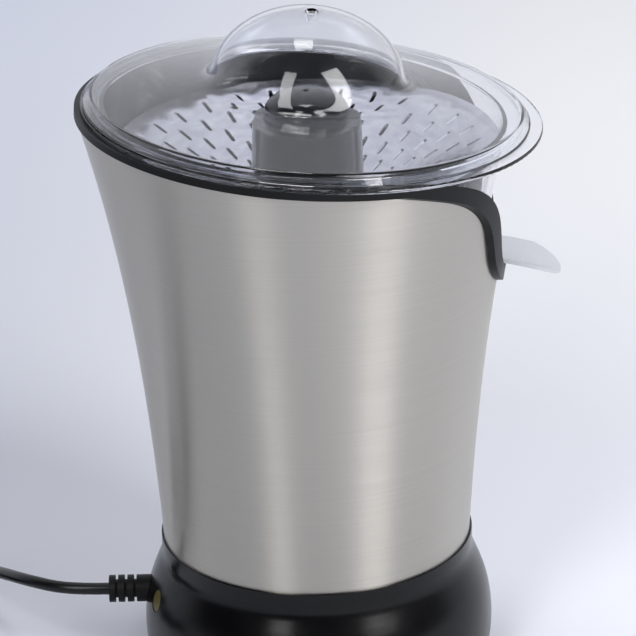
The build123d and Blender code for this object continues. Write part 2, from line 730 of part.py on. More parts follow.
def make_lid():
    """The clear lid in the rim's slanted frame: a leaning rim, a raised cone and a dome with a vent tube."""
    t = LID_WALL
    corner = Vector(LID_R - LID_RIM_W, LID_RIM_H)
    dome_z = LID_RIM_H + LID_RISE
    foot_r = DOME_R + DOME_FLARE_W
    rise = (Vector(foot_r, dome_z) - corner).normalized()
    low = corner + Vector(LID_LEAN, -1).normalized() * LID_RIM_ROUND
    high = corner + rise * LID_RIM_ROUND
    slope = rise.Y / -rise.X
    inner_z = (dome_z - t - slope * (lid_inside_r(0) - foot_r)) / (1 - slope * LID_LEAN)
    inner_corner = (lid_inside_r(inner_z), inner_z)
    start = DOME_FLARE_START
    dome = EllipticalCenterArc((0, dome_z), DOME_R, DOME_H, start, arc_size=90 - start)
    lining = EllipticalCenterArc((0, dome_z), DOME_R - t, DOME_H - t, start, arc_size=90 - start)
    outer = [
        Line((LID_R, 0), (LID_R, LID_FOOT_H)),
        Line((LID_R, LID_FOOT_H), low),
        Bezier(low, corner, high),
        Line(high, (foot_r, dome_z)),
        Spline((foot_r, dome_z), dome @ 0, tangents=[rise, dome % 0]),
        dome,
    ]
    inner = [
        lining,
        Spline((foot_r, dome_z - t), lining @ 0, tangents=[rise, lining % 0]),
        Line((foot_r, dome_z - t), inner_corner),
        Line(inner_corner, (lid_inside_r(0), 0)),
        Line((lid_inside_r(0), 0), (LID_R, 0)),
    ]
    top = dome_z + DOME_H
    cover = spun(*outer, *inner, Line((0, top), (0, top - t)))
    tip = top - t - VENT_TUBE_H
    middle = top - t / 2
    tip_r = VENT_TIP_R + VENT_TUBE_WALL
    root_r = VENT_HOLE_R + VENT_TUBE_WALL
    cover += spun(Polyline((0, tip), (tip_r, tip), (root_r, middle), (0, middle), close=True))
    hole_tip = [(0, tip - 1), (VENT_TIP_R, tip - 1), (VENT_TIP_R, tip)]
    hole_root = [(VENT_HOLE_R, middle), (VENT_HOLE_R, top + 1), (0, top + 1)]
    cover -= spun(Polyline(*hole_tip, *hole_root, close=True))
    return slanted(LID_Z) * cover


def make_drive():
    """The spindle, its gear, the idler on its pin, the motor pinion, the bush and the seal."""
    second_top = SECOND_GEAR_Z + GEAR_W
    bush_low = DECK_Z - BUSH_LENGTH
    hex_low = chimney_top_z() - CHIMNEY_DROP
    half_wheel = 180 / WHEEL_TEETH
    half_pinion = 180 / PINION_TEETH
    spindle = rod(SPINDLE_R, SPINDLE_LOW_Z, hex_low) + hexagon_rod(SPINDLE_HEX, hex_low, HUB_TOP_Z - 1)
    spindle -= rod(ROD_R + FIT_GAP, SPINDLE_LOW_Z - 1, HUB_TOP_Z + 1)
    output = gear(WHEEL_TEETH, 90, SECOND_GEAR_Z, second_top)
    output += rod(SPINDLE_R + 4, second_top, bush_low - SEAT_GAP)
    output -= rod(SPINDLE_R, SECOND_GEAR_Z - 1, bush_low + 1)
    idler = gear(WHEEL_TEETH, 270 + half_wheel, FIRST_GEAR_Z, FIRST_GEAR_Z + GEAR_W, IDLER_AT)
    idler += gear(PINION_TEETH, 270 + half_pinion, FIRST_GEAR_Z + GEAR_W, second_top, IDLER_AT)
    idler += rod(IDLER_PIN_R + 2, GEAR_PLATE_Z + GEAR_PLATE_T + SEAT_GAP, FIRST_GEAR_Z, IDLER_AT)
    idler -= rod(IDLER_PIN_R + RUN_GAP, GEAR_PLATE_Z, second_top + 1, IDLER_AT)
    pin = rod(IDLER_PIN_R, GEAR_PLATE_Z, DECK_LOW_Z, IDLER_AT)
    pinion = gear(PINION_TEETH, 90, FIRST_GEAR_Z, FIRST_GEAR_Z + GEAR_W) - rod(MOTOR_SHAFT_R, 0, FAR)
    bore = SPINDLE_R + RUN_GAP
    bush = tube(bore + BUSH_WALL, bore, bush_low, DECK_Z) + tube(BUSH_FLANGE_R, bore, DECK_Z, DECK_Z + 1.5)
    seal_low = DECK_Z + 1.5
    seal = tube(BUSH_FLANGE_R - 2, bore, seal_low, seal_low + SEAL_H)
    return {
        "drive_spindle": spindle, "output_gear": output, "idler_gear": idler, "idler_pin": pin,
        "motor_pinion": pinion, "spindle_bush": bush, "shaft_seal": seal,
    }


def make_gear_plate():
    """The plate that carries the motor below and the gears above."""
    plate = rod(GEAR_PLATE_R, GEAR_PLATE_Z, GEAR_PLATE_Z + GEAR_PLATE_T)
    plate -= rod(BEARING_R + FIT_GAP, GEAR_PLATE_Z - 1, GEAR_PLATE_Z + GEAR_PLATE_T + 1)
    for at in on_circle(POST_CIRCLE_R, POSTS, 45):
        plate -= rod(ROD_BOLT_R + SCREW_GAP, GEAR_PLATE_Z - 1, GEAR_PLATE_Z + GEAR_PLATE_T + 1, at)
    for at in on_circle(MOTOR_SCREW_CIRCLE_R, MOTOR_SCREWS, 30):
        plate -= rod(SCREW_R + SCREW_GAP, GEAR_PLATE_Z - 1, GEAR_PLATE_Z + GEAR_PLATE_T + 1, at)
    return plate - rod(IDLER_PIN_R, GEAR_PLATE_Z - 1, GEAR_PLATE_Z + GEAR_PLATE_T + 1, IDLER_AT)


def make_motor():
    """The motor: can, cap, stator, rotor, bearings, shaft, fan and the screws that hold it."""
    top = GEAR_PLATE_Z
    cap_low = top - MOTOR_CAP_T
    low = top - MOTOR_LENGTH
    bore = MOTOR_R - MOTOR_WALL
    stator_bore = bore - STATOR_W
    rotor_r = stator_bore - ROTOR_GAP
    middle = (low + cap_low) / 2
    rotor_low = middle - ROTOR_LENGTH / 2
    rotor_high = middle + ROTOR_LENGTH / 2
    can = tube(MOTOR_R, bore, low, cap_low) + rod(bore, low, low + MOTOR_WALL)
    can += rod(BEARING_R + MOTOR_WALL, low, low + BEARING_H)
    can -= rod(BEARING_R, low - 1, low + BEARING_H + 1)
    cap = rod(MOTOR_R, cap_low, top) + rod(BEARING_R + MOTOR_WALL, top - BEARING_H, cap_low)
    cap -= rod(BEARING_R, top - BEARING_H - 1, top + 1)
    for at in on_circle(MOTOR_SCREW_CIRCLE_R, MOTOR_SCREWS, 30):
        cap -= rod(SCREW_R, cap_low - 1, top + 1, at)
    spin_r = MOTOR_SHAFT_R + RUN_GAP
    winding = tube(rotor_r - 3, MOTOR_SHAFT_R + 3, rotor_low - WINDING_W, rotor_low)
    winding = [winding, tube(rotor_r - 3, MOTOR_SHAFT_R + 3, rotor_high, rotor_high + WINDING_W)]
    fan_top = low - FAN_GAP
    fan_low = fan_top - FAN_H
    fan = tube(MOTOR_SHAFT_R + 3, MOTOR_SHAFT_R, fan_low, fan_top)
    fan += tube(FAN_R, MOTOR_SHAFT_R, fan_top - FAN_DISC_T, fan_top)
    blade_l = FAN_R - MOTOR_SHAFT_R - 2
    blade = block((blade_l, FAN_BLADE_T, FAN_H), fan_low, (MOTOR_SHAFT_R + 1.5 + blade_l / 2, 0))
    for one in around(blade, FAN_BLADES):
        fan += one
    shaft = rod(MOTOR_SHAFT_R, fan_low, FIRST_GEAR_Z + GEAR_W)
    places = on_circle(MOTOR_SCREW_CIRCLE_R, MOTOR_SCREWS, 30)
    screws = [screw(GEAR_PLATE_Z + GEAR_PLATE_T, at) for at in places]
    return {
        "motor_can": can, "motor_end_cap": cap, "stator_core": tube(bore, stator_bore, rotor_low, rotor_high),
        "rotor_core": tube(rotor_r, MOTOR_SHAFT_R, rotor_low, rotor_high), "rotor_winding": winding,
        "motor_shaft": shaft, "lower_bearing": tube(BEARING_R, spin_r, low, low + BEARING_H),
        "upper_bearing": tube(BEARING_R, spin_r, top - BEARING_H, top), "cooling_fan": fan,
        "motor_screws": screws,
    }


def make_frame_posts():
    """The posts between base, gear plate and deck, and the long rods that clamp them."""
    places = on_circle(POST_CIRCLE_R, POSTS, 45)
    hole = ROD_BOLT_R + SCREW_GAP
    plate_top = GEAR_PLATE_Z + GEAR_PLATE_T
    rods = []
    for at in places:
        one = rod(BOLT_HEAD_R, PLATE_Z, PLATE_Z + BOLT_HEAD_H, at)
        rods.append(one + rod(ROD_BOLT_R, PLATE_Z + BOLT_HEAD_H, DECK_LOW_Z - FIT_GAP, at))
    return {
        "lower_posts": [tube(POST_R, hole, SHELF_Z, GEAR_PLATE_Z, at) for at in places],
        "upper_posts": [tube(POST_R, hole, plate_top, DECK_LOW_Z - DECK_BOSS_H, at) for at in places],
        "tie_rods": rods,
    }


def make_switch():
    """The microswitch on its bracket under the spindle, its button, the push rod and the return spring."""
    button_top = SPINDLE_LOW_Z - 3.0
    body_top = button_top - BUTTON_H + 1.0
    body_low = body_top - SWITCH_H
    shelf_low = body_low - BRACKET_T
    plate_top = GEAR_PLATE_Z + GEAR_PLATE_T
    leg_x = GEAR_CENTRES - 4
    switch = block((SWITCH_L, SWITCH_W, SWITCH_H), body_low)
    switch -= rod(BUTTON_R + RUN_GAP, button_top - BUTTON_H - PRESS_TRAVEL - 0.5, body_top + 1)
    holes = [(-SWITCH_L / 2 + 3, 0), (SWITCH_L / 2 - 3, 0)]
    bracket = block((2 * leg_x, SWITCH_W + 4, BRACKET_T), shelf_low)
    for side in (-1, 1):
        bracket += block((BRACKET_T, SWITCH_W + 4, body_low - plate_top), plate_top, (side * leg_x, 0))
    screws = []
    for at in holes:
        switch -= rod(SCREW_R, body_low - 1, body_low + 6, at)
        bracket -= rod(SCREW_R, shelf_low - 1, body_low + 1, at)
        head = rod(SCREW_HEAD_R, shelf_low - SCREW_HEAD_H, shelf_low, at)
        screws.append(head + rod(SCREW_R, shelf_low, body_low + 6, at))
    button = rod(BUTTON_R, button_top - BUTTON_H, button_top)
    push = rod(ROD_R, button_top + SEAT_GAP / 2, rod_top_z())
    spring_low = HUB_TOP_Z - 1
    spring_high = rod_top_z() - 1.0
    collar = rod(SPRING_R + SPRING_WIRE, spring_high, rod_top_z())
    turn_h = (spring_high - spring_low - SPRING_WIRE - 2 * SEAT_GAP) / SPRING_TURNS
    coil = Helix(turn_h, turn_h * SPRING_TURNS, SPRING_R)
    coil = Pos(0, 0, spring_low + SEAT_GAP + SPRING_WIRE / 2) * coil
    spring = swept(coil, SPRING_WIRE / 2)
    return {
        "microswitch": switch, "switch_bracket": bracket, "switch_screws": screws, "switch_button": button,
        "push_rod": push + collar, "return_spring": spring,
    }


def along_x(radius, start, end):
    """A cylinder along X at the cord's exit height."""
    return Pos(start, 0, CORD_EXIT_Z) * Rot(0, 90, 0) * Cylinder(radius, end - start, align=BASE)


def make_cord_entry():
    """The ribbed gland, the lead inside, its clamp, and the terminal block."""
    bore = CORD_D / 2 + GLAND_BORE_GAP
    wall_x = -skin_place(CORD_EXIT_Z)[0]
    inside_x = BASE_WALL + FIT_GAP - skin_place(CORD_EXIT_Z + GLAND_BOSS_R)[0]
    boss_x = wall_x - GLAND_BOSS_L
    end_x = gland_end_x()
    gland = along_x(GLAND_CORE_R, end_x, boss_x) + along_x(GLAND_BOSS_R, boss_x, inside_x)
    for i in range(GLAND_RIBS):
        rib_x = end_x + i * (GLAND_RIB_T + GLAND_GROOVE_T)
        gland += along_x(GLAND_BOSS_R, rib_x, rib_x + GLAND_RIB_T)
    gland -= base_body(-FIT_GAP / 2, SHELF_Z)
    gland += along_x(GLAND_NECK_R, boss_x, inside_x)
    gland += along_x(GLAND_BOSS_R, inside_x, inside_x + GLAND_FLANGE_T)
    gland -= along_x(bore, end_x - 1, inside_x + GLAND_FLANGE_T + 1)
    lead_end = BLOCK_X - BLOCK_SIZE[0] / 2
    lead_top = CORD_EXIT_Z + CORD_D / 2 + FIT_GAP
    lead_low = CORD_EXIT_Z - CORD_D / 2 - FIT_GAP
    head_low = lead_top + CLAMP_ROOF
    clamp = block((*CLAMP_SIZE, head_low - lead_low), lead_low, (CLAMP_X, 0))
    clamp -= block((CLAMP_SIZE[0] + 2, CORD_D + 2 * FIT_GAP, lead_top - lead_low), lead_low, (CLAMP_X, 0))
    screws = []
    for side in (-1, 1):
        at = (CLAMP_X, side * CLAMP_SCREW_Y)
        clamp -= rod(SCREW_R + SCREW_GAP, lead_low - 1, FAR, at)
        head = rod(SCREW_HEAD_R, head_low, head_low + SCREW_HEAD_H, at)
        screws.append(head + rod(SCREW_R, lead_low - CLAMP_SCREW_L, head_low, at))
    terminal = block(BLOCK_SIZE, CORD_EXIT_Z - BLOCK_SIZE[2] / 2, (BLOCK_X, 0))
    for side in (-1, 1):
        terminal -= rod(SCREW_R, CORD_EXIT_Z, FAR, (BLOCK_X, side * BLOCK_SIZE[1] / 4))
    return {
        "cord_gland": gland, "inner_lead": along_x(CORD_D / 2, end_x, lead_end), "cord_clamp": clamp,
        "clamp_screws": screws, "terminal_block": terminal,
    }


def gland_end_x():
    """The outer end of the gland: its boss, and its ribs with a groove before each."""
    return -skin_place(CORD_EXIT_Z)[0] - GLAND_BOSS_L - GLAND_RIBS * (GLAND_RIB_T + GLAND_GROOVE_T)


def half_turn(centre_y, radius, side, height):
    """Half a turn of the coil, counterclockwise, from its back (side 1) or its front (side -1)."""
    middle_x = COIL_CENTRE[0] - side * radius
    ends = [(COIL_CENTRE[0], centre_y + way * side * radius, height) for way in (1, -1)]
    return ThreePointArc(ends[0], (middle_x, centre_y, height), ends[1])


def coil_path():
    """The coil in two layers: half turns that draw in, a climb of half a turn, and half turns that grow."""
    x, y = COIL_CENTRE
    y += COIL_R
    side = 1
    radius = COIL_R
    step = COIL_PITCH / 2
    top = COIL_LIFT + COIL_LAYER
    edges = []
    for _ in range(COIL_LOW_HALF_TURNS):
        edges.append(half_turn(y - side * radius, radius, side, COIL_LIFT))
        y -= 2 * side * radius
        side = -side
        radius -= step
    reach = math.hypot(radius, COIL_LAYER / 2)
    middle = (x - side * reach, y - side * radius, COIL_LIFT + COIL_LAYER / 2)
    climb = TangentArc((x, y, COIL_LIFT), middle, tangent=(-side, 0, 0))
    y -= 2 * side * radius
    edges += [climb, TangentArc(middle, (x, y, top), tangent=climb % 1)]
    side = -side
    for _ in range(COIL_TOP_HALF_TURNS):
        radius += step
        edges.append(half_turn(y - side * radius, radius, side, top))
        y -= 2 * side * radius
        side = -side
    radius += step
    lean = math.sqrt(0.5) * radius
    left = (x - radius, y - radius, top)
    edges.append(ThreePointArc((x, y, top), (x - lean, y - radius + lean, top), left))
    entry = (left[0], left[1] - COIL_TAIL, top)
    edges.append(Line(left, entry))
    start = (x, COIL_CENTRE[1] + COIL_R, COIL_LIFT)
    return Wire([Line((x + CORD_D, start[1], start[2]), start)] + edges), entry


def make_cord():
    """The free stretch of cord, the coil it ends in, the tie round the coil and the plug."""
    x, y = COIL_CENTRE
    route = [
        (gland_end_x(), 0, CORD_EXIT_Z),
        (-98, 0, CORD_EXIT_Z),
        (-114, 9, 28.2),
        (-125, 25, 23.5),
        (-133, 43, 16.5),
        (-143, 58, 9),
        (-157.8, y + COIL_R, COIL_LIFT),
        (x + CORD_D, y + COIL_R, COIL_LIFT),
    ]
    radii = largest_radii(route)
    free = FilletPolyline(*route, radius=radii)
    coil, entry = coil_path()
    print("cord bend radii", [round(r, 1) for r in radii])
    print("cord length", round(free.length), "coil length", round(coil.length))
    print("coil's least gap to itself", round(least_self_gap(coil, CORD_D), 2))
    step = COIL_PITCH / 2
    tie_in = COIL_R - COIL_LOW_HALF_TURNS * step - CORD_D / 2 - TIE_SLACK
    tie_out = COIL_R - step + CORD_D / 2 + FIT_GAP
    tie_high = COIL_LIFT + COIL_LAYER + CORD_D / 2 + FIT_GAP
    tie_low = COIL_LIFT - CORD_D / 2 - FIT_GAP
    tie = block((tie_out - tie_in + 2 * TIE_T, TIE_W, tie_high - tie_low + 2 * TIE_T), tie_low - TIE_T)
    tie -= block((tie_out - tie_in, TIE_W + 2, tie_high - tie_low), tie_low)
    tie = Pos(x + (tie_in + tie_out) / 2, y - step, 0) * tie
    half_h = entry[2] - PLUG_LIFT
    neck = CORD_D
    outline = Polyline(
        (-neck, 0), (neck, 0), (PLUG_W / 2, -PLUG_L * 0.45), (PLUG_W / 2, -PLUG_L), (-PLUG_W / 2, -PLUG_L),
        (-PLUG_W / 2, -PLUG_L * 0.45), close=True,
    )
    body = Pos(0, 0, -half_h) * extrude(make_face(outline), 2 * half_h)
    body = fillet(body.edges().filter_by(Axis.Z), 2.0)
    body = chamfer(body.faces().filter_by(Axis.Z).edges(), 1.5)
    pins = []
    for side in (-1, 1):
        pin = Rot(90, 0, 0) * Cylinder(PLUG_PIN_R, PLUG_PIN_L, align=BASE)
        pins.append(Pos(*entry) * Pos(side * PLUG_PIN_SPACING / 2, -PLUG_L, 0) * pin)
    return {
        "power_cord": swept(free, CORD_D / 2), "cord_coil": swept(coil, CORD_D / 2), "cord_tie": tie,
        "plug_body": Pos(*entry) * body, "plug_pins": pins,
    }


PIECES = {}
PIECES["base_shell"] = make_base()
PIECES["rating_disc"] = make_rating_disc()
PIECES["bottom_plate"] = make_bottom_plate()
PIECES["rubber_ring"] = make_foot_ring()
PIECES["steel_shell"] = make_steel_shell()
PIECES["inner_well"] = make_inner_well()
PIECES["trim_ring"] = make_trim(PIECES["steel_shell"])
PIECES["juice_bowl"] = make_bowl()
PIECES["strainer"] = make_strainer()
PIECES["reamer_hub"] = make_reamer_hub()
PIECES["reamer"] = make_reamer()
PIECES["lid"] = make_lid()
PIECES["gear_plate"] = make_gear_plate()
PIECES.update(make_drive())
PIECES.update(make_motor())
PIECES.update(make_frame_posts())
PIECES.update(make_switch())
PIECES.update(make_cord_entry())
PIECES.update(make_cord())

os.makedirs("parts", exist_ok=True)
for name, piece in PIECES.items():
    solids = piece if isinstance(piece, list) else [piece]
    export_step(Compound(label=name, children=solids), f"parts/{name}.step")
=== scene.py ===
"""Citrus juicer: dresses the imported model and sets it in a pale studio."""

from __future__ import annotations

import logging
import math
from dataclasses import dataclass
from enum import Enum
from typing import Sequence

import bmesh
import bpy
from mathutils import Matrix, Vector
from mathutils.geometry import interpolate_bezier

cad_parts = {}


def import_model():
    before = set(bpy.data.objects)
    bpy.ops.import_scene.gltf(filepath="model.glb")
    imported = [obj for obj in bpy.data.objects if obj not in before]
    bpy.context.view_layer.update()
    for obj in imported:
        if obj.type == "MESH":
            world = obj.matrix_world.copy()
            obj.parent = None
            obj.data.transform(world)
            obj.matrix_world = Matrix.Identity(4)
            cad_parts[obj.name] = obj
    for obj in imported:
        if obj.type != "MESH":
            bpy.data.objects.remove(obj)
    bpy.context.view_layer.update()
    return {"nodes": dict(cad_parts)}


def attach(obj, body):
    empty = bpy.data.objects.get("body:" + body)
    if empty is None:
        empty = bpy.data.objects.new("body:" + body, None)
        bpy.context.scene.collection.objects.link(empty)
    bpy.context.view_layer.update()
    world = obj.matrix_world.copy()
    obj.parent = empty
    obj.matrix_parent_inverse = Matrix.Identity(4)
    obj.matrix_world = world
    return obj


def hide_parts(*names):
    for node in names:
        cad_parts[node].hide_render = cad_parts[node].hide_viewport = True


LOG = logging.getLogger("juicer")
MM = 0.001
FULL_TURN = 2.0 * math.pi

# The rim, the lid and the steel's upper edge fall towards the spout by this angle.
SLANT = math.radians(4.4)
# Nearly all of a noise's values lie between these two.
NOISE_LOW = 0.3
NOISE_HIGH = 0.7
# Points that lie closer than this, in metres, are merged: on a turned shape and on a copied node.
TURNED_MERGE = 1e-6
COPIED_MERGE = 2e-6
# Edges that bend less than this are taken for flat.
FLAT_BEND = math.radians(0.2)
# Edges that bend more than this are shaded as sharp.
SHARP_BEND = math.radians(32.0)
# Edges that bend more than this are rounded, on a piece that has a rounding.
ROUNDED_BEND = math.radians(35.0)
# The largest weight, with which large faces stay flat to the eye beside rounded edges.
FLAT_WEIGHT = 100
# A Mix node has sockets of the same names for each type, so those for colours go by number.
MIX_FIRST = 6
MIX_SECOND = 7
MIX_RESULT = 2

Point2 = tuple[float, float]
Point3 = tuple[float, float, float]
Nodes = dict[str, bpy.types.Object]


class Body(str, Enum):
    """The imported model's bodies that carry pieces made here."""

    HOUSING = "housing"
    BOWL = "bowl"
    STRAINER = "strainer"
    LID = "lid"
    REAMER = "reamer"


def srgb(code: str) -> tuple[float, float, float, float]:
    """Turns an sRGB hex colour into a linear one.

    Args:
        code: the colour as "#rrggbb".

    Returns:
        Linear red, green, blue and an alpha of 1.
    """
    parts = [int(code[i : i + 2], 16) / 255.0 for i in (1, 3, 5)]
    linear = [c / 12.92 if c <= 0.04045 else ((c + 0.055) / 1.055) ** 2.4 for c in parts]
    return (linear[0], linear[1], linear[2], 1.0)


def add_node(
    tree: bpy.types.NodeTree,
    kind: str,
    settings: dict[str, object] | None = None,
    inputs: dict[str | int, object] | None = None,
) -> bpy.types.Node:
    """Adds a node with its settings, values and links.

    Args:
        tree: the node tree that gets it.
        kind: the node's type name.
        settings: attributes to set on the node.
        inputs: values for its sockets, or the sockets that feed them.

    Returns:
        The new node.
    """
    node = tree.nodes.new(kind)
    for key, value in (settings or {}).items():
        setattr(node, key, value)
    for key, value in (inputs or {}).items():
        if isinstance(value, bpy.types.NodeSocket):
            tree.links.new(value, node.inputs[key])
        else:
            node.inputs[key].default_value = value
    return node


@dataclass(frozen=True)
class Finish:
    """A material with a name and a way of wiring its nodes."""

    name: str

    def wire(self, tree: bpy.types.NodeTree) -> bpy.types.NodeSocket:
        """Wires the nodes and returns the surface's shader socket."""
        raise NotImplementedError

    def material(self) -> bpy.types.Material:
        """Makes the material, or finds the one already made.

        Returns:
            The material, named as the finish is.
        """
        made = bpy.data.materials.get(self.name)
        if made is None:
            made = bpy.data.materials.new(self.name)
            made.use_nodes = True
            made.node_tree.nodes.clear()
            surface = self.wire(made.node_tree)
            add_node(made.node_tree, "ShaderNodeOutputMaterial", inputs={"Surface": surface})
        return made

    def streaks(
        self, tree: bpy.types.NodeTree, grain_mm: Point3, detail: float = 3.0
    ) -> bpy.types.NodeSocket:
        """Noise on Object coordinates.

        Args:
            tree: the node tree that gets it.
            grain_mm: the size of the noise's grain along X, Y and Z.
            detail: how many finer layers it has.

        Returns:
            The noise's factor, about 0.5 on average.
        """
        coords = add_node(tree, "ShaderNodeTexCoord")
        scale = tuple(1.0 / (size * MM) for size in grain_mm)
        mapped = add_node(
            tree, "ShaderNodeMapping", inputs={"Vector": coords.outputs["Object"], "Scale": scale}
        )
        noise = add_node(
            tree,
            "ShaderNodeTexNoise",
            inputs={"Vector": mapped.outputs["Vector"], "Scale": 1.0, "Detail": detail},
        )
        return noise.outputs["Fac"]

    def skin(
        self,
        tree: bpy.types.NodeTree,
        source: bpy.types.NodeSocket,
        tones: tuple[str, str],
        roughness: Point2,
        relief: tuple[bpy.types.NodeSocket, float],
    ) -> dict[str | int, object]:
        """Colour, roughness and relief that follow noises, so that no surface is quite even.

        Args:
            tree: the node tree that gets the nodes.
            source: the noise that the colour and the roughness follow.
            tones: the two sRGB colours that are mixed.
            roughness: the range of the roughness.
            relief: the noise that the relief follows and its depth in millimetres.

        Returns:
            Inputs for a Principled shader.
        """
        share = add_node(
            tree,
            "ShaderNodeMapRange",
            inputs={"Value": source, "From Min": NOISE_LOW, "From Max": NOISE_HIGH},
        )
        mix = add_node(
            tree,
            "ShaderNodeMix",
            {"data_type": "RGBA"},
            {"Factor": share.outputs["Result"], MIX_FIRST: srgb(tones[0]), MIX_SECOND: srgb(tones[1])},
        )
        ranged = add_node(
            tree,
            "ShaderNodeMapRange",
            inputs={"Value": share.outputs["Result"], "To Min": roughness[0], "To Max": roughness[1]},
        )
        bump = add_node(tree, "ShaderNodeBump", inputs={"Distance": relief[1] * MM, "Height": relief[0]})
        return {
            "Base Color": mix.outputs[MIX_RESULT],
            "Roughness": ranged.outputs["Result"],
            "Normal": bump.outputs["Normal"],
        }


@dataclass(frozen=True)
class BrushedSteel(Finish):
    """Stainless sheet, brushed round the body: fine level lines that stretch reflections upwards."""

    tones: tuple[str, str] = ("#b7b3ab", "#bdb9b1")
    roughness: Point2 = (0.3, 0.36)
    anisotropy: float = 0.94
    anisotropy_turn: float = 0.25
    line_mm: Point3 = (70.0, 70.0, 0.55)
    line_depth_mm: float = 0.0015

    def wire(self, tree: bpy.types.NodeTree) -> bpy.types.NodeSocket:
        """Wires the nodes; the lines are drawn coarser than real ones so that they show.

        Args:
            tree: the material's node tree.

        Returns:
            The surface's shader socket.
        """
        lines = self.streaks(tree, self.line_mm)
        tangent = add_node(tree, "ShaderNodeTangent", {"direction_type": "RADIAL", "axis": "Z"})
        shader = add_node(
            tree,
            "ShaderNodeBsdfPrincipled",
            inputs={
                **self.skin(tree, lines, self.tones, self.roughness, (lines, self.line_depth_mm)),
                "Metallic": 1.0,
                "Anisotropic": self.anisotropy,
                "Anisotropic Rotation": self.anisotropy_turn,
                "Tangent": tangent.outputs["Tangent"],
            },
        )
        return shader.outputs["BSDF"]


@dataclass(frozen=True)
class SmoothMetal(Finish):
    """Polished, ground or plated metal with faint tool marks."""

    tones: tuple[str, str]
    roughness: float
    mark_mm: Point3
    mark_depth_mm: float = 0.0002
    roughness_stray: float = 0.2

    def wire(self, tree: bpy.types.NodeTree) -> bpy.types.NodeSocket:
        """Wires the nodes; the roughness strays by a share of itself.

        Args:
            tree: the material's node tree.

        Returns:
            The surface's shader socket.
        """
        marks = self.streaks(tree, self.mark_mm)
        stray = self.roughness * self.roughness_stray
        rough = (self.roughness - stray, self.roughness + stray)
        shader = add_node(
            tree,
            "ShaderNodeBsdfPrincipled",
            inputs={
                **self.skin(tree, marks, self.tones, rough, (marks, self.mark_depth_mm)),
                "Metallic": 1.0,
            },
        )
        return shader.outputs["BSDF"]


@dataclass(frozen=True)
class MouldedPlastic(Finish):
    """Moulded plastic or rubber: one colour with a soft sheen and a fine spark-eroded grain."""

    tones: tuple[str, str]
    roughness: float
    grain_mm: float = 0.7
    grain_depth_mm: float = 0.006
    cloud_mm: float = 22.0
    roughness_stray: float = 0.04
    coat: float = 0.0
    coat_roughness: float = 0.08
    specular: float = 0.5
    ior: float = 1.53

    def wire(self, tree: bpy.types.NodeTree) -> bpy.types.NodeSocket:
        """Wires the nodes; the grain is drawn coarser than a real one so that it shows.

        Args:
            tree: the material's node tree.

        Returns:
            The surface's shader socket.
        """
        grain = self.streaks(tree, (self.grain_mm,) * 3, detail=2.0)
        cloud = self.streaks(tree, (self.cloud_mm,) * 3)
        rough = (self.roughness - self.roughness_stray, self.roughness + self.roughness_stray)
        shader = add_node(
            tree,
            "ShaderNodeBsdfPrincipled",
            inputs={
                **self.skin(tree, cloud, self.tones, rough, (grain, self.grain_depth_mm)),
                "IOR": self.ior,
                "Specular IOR Level": self.specular,
                "Coat Weight": self.coat,
                "Coat Roughness": self.coat_roughness,
            },
        )
        return shader.outputs["BSDF"]


@dataclass(frozen=True)
class ClearPlastic(Finish):
    """Clear moulded styrene: it bends and mirrors light, and lets lamps through to what it covers."""

    tones: tuple[str, str] = ("#f7f8fa", "#f9fafc")
    shadow: str = "#eeeff2"
    roughness: Point2 = (0.015, 0.025)
    flow_mm: Point3 = (30.0, 30.0, 12.0)
    flow_depth_mm: float = 0.02
    ior: float = 1.36
    specular: float = 1.0

    def wire(self, tree: bpy.types.NodeTree) -> bpy.types.NodeSocket:
        """Wires the nodes; rays from lamps pass straight through, a little dimmed.

        Args:
            tree: the material's node tree.

        Returns:
            The surface's shader socket.
        """
        flow = self.streaks(tree, self.flow_mm, detail=1.0)
        shader = add_node(
            tree,
            "ShaderNodeBsdfPrincipled",
            inputs={
                **self.skin(tree, flow, self.tones, self.roughness, (flow, self.flow_depth_mm)),
                "IOR": self.ior,
                "Specular IOR Level": self.specular,
                "Transmission Weight": 1.0,
            },
        )
        clear = add_node(tree, "ShaderNodeBsdfTransparent", inputs={"Color": srgb(self.shadow)})
        path = add_node(tree, "ShaderNodeLightPath")
        mixed = add_node(
            tree,
            "ShaderNodeMixShader",
            inputs={
                0: path.outputs["Is Shadow Ray"],
                1: shader.outputs["BSDF"],
                2: clear.outputs["BSDF"],
            },
        )
        return mixed.outputs["Shader"]


@dataclass(frozen=True)
class CloudyPlastic(Finish):
    """Frosted moulded styrene: it scatters the light, so that it reads as a pale grey skin."""

    tones: tuple[str, str] = ("#cdcfd3", "#d6d8dc")
    roughness: Point2 = (0.3, 0.34)
    ior: float = 1.5
    clearness: float = 0.25
    frost_mm: float = 0.6
    frost_depth_mm: float = 0.004

    def wire(self, tree: bpy.types.NodeTree) -> bpy.types.NodeSocket:
        """Wires the nodes; the frosting is a fine grain, drawn coarser than real so that it shows.

        Args:
            tree: the material's node tree.

        Returns:
            The surface's shader socket.
        """
        frost = self.streaks(tree, (self.frost_mm,) * 3)
        shader = add_node(
            tree,
            "ShaderNodeBsdfPrincipled",
            inputs={
                **self.skin(tree, frost, self.tones, self.roughness, (frost, self.frost_depth_mm)),
                "IOR": self.ior,
                "Transmission Weight": self.clearness,
            },
        )
        return shader.outputs["BSDF"]


# Fine level lines that pull the lamps out into tall bright bands.
STEEL_BODY = BrushedSteel("Brushed stainless sheet")
# A soft mirror of the bright back, cool and pale.
STRAINER_STEEL = SmoothMetal("Polished stainless sheet", ("#c2c2ca", "#d4d4da"), 0.22, (9.0, 9.0, 1.5))
# Bright grey with fine marks along the turning.
GROUND_STEEL = SmoothMetal("Ground steel", ("#a9a9ad", "#bcbcc0"), 0.3, (1.5, 1.5, 8.0))
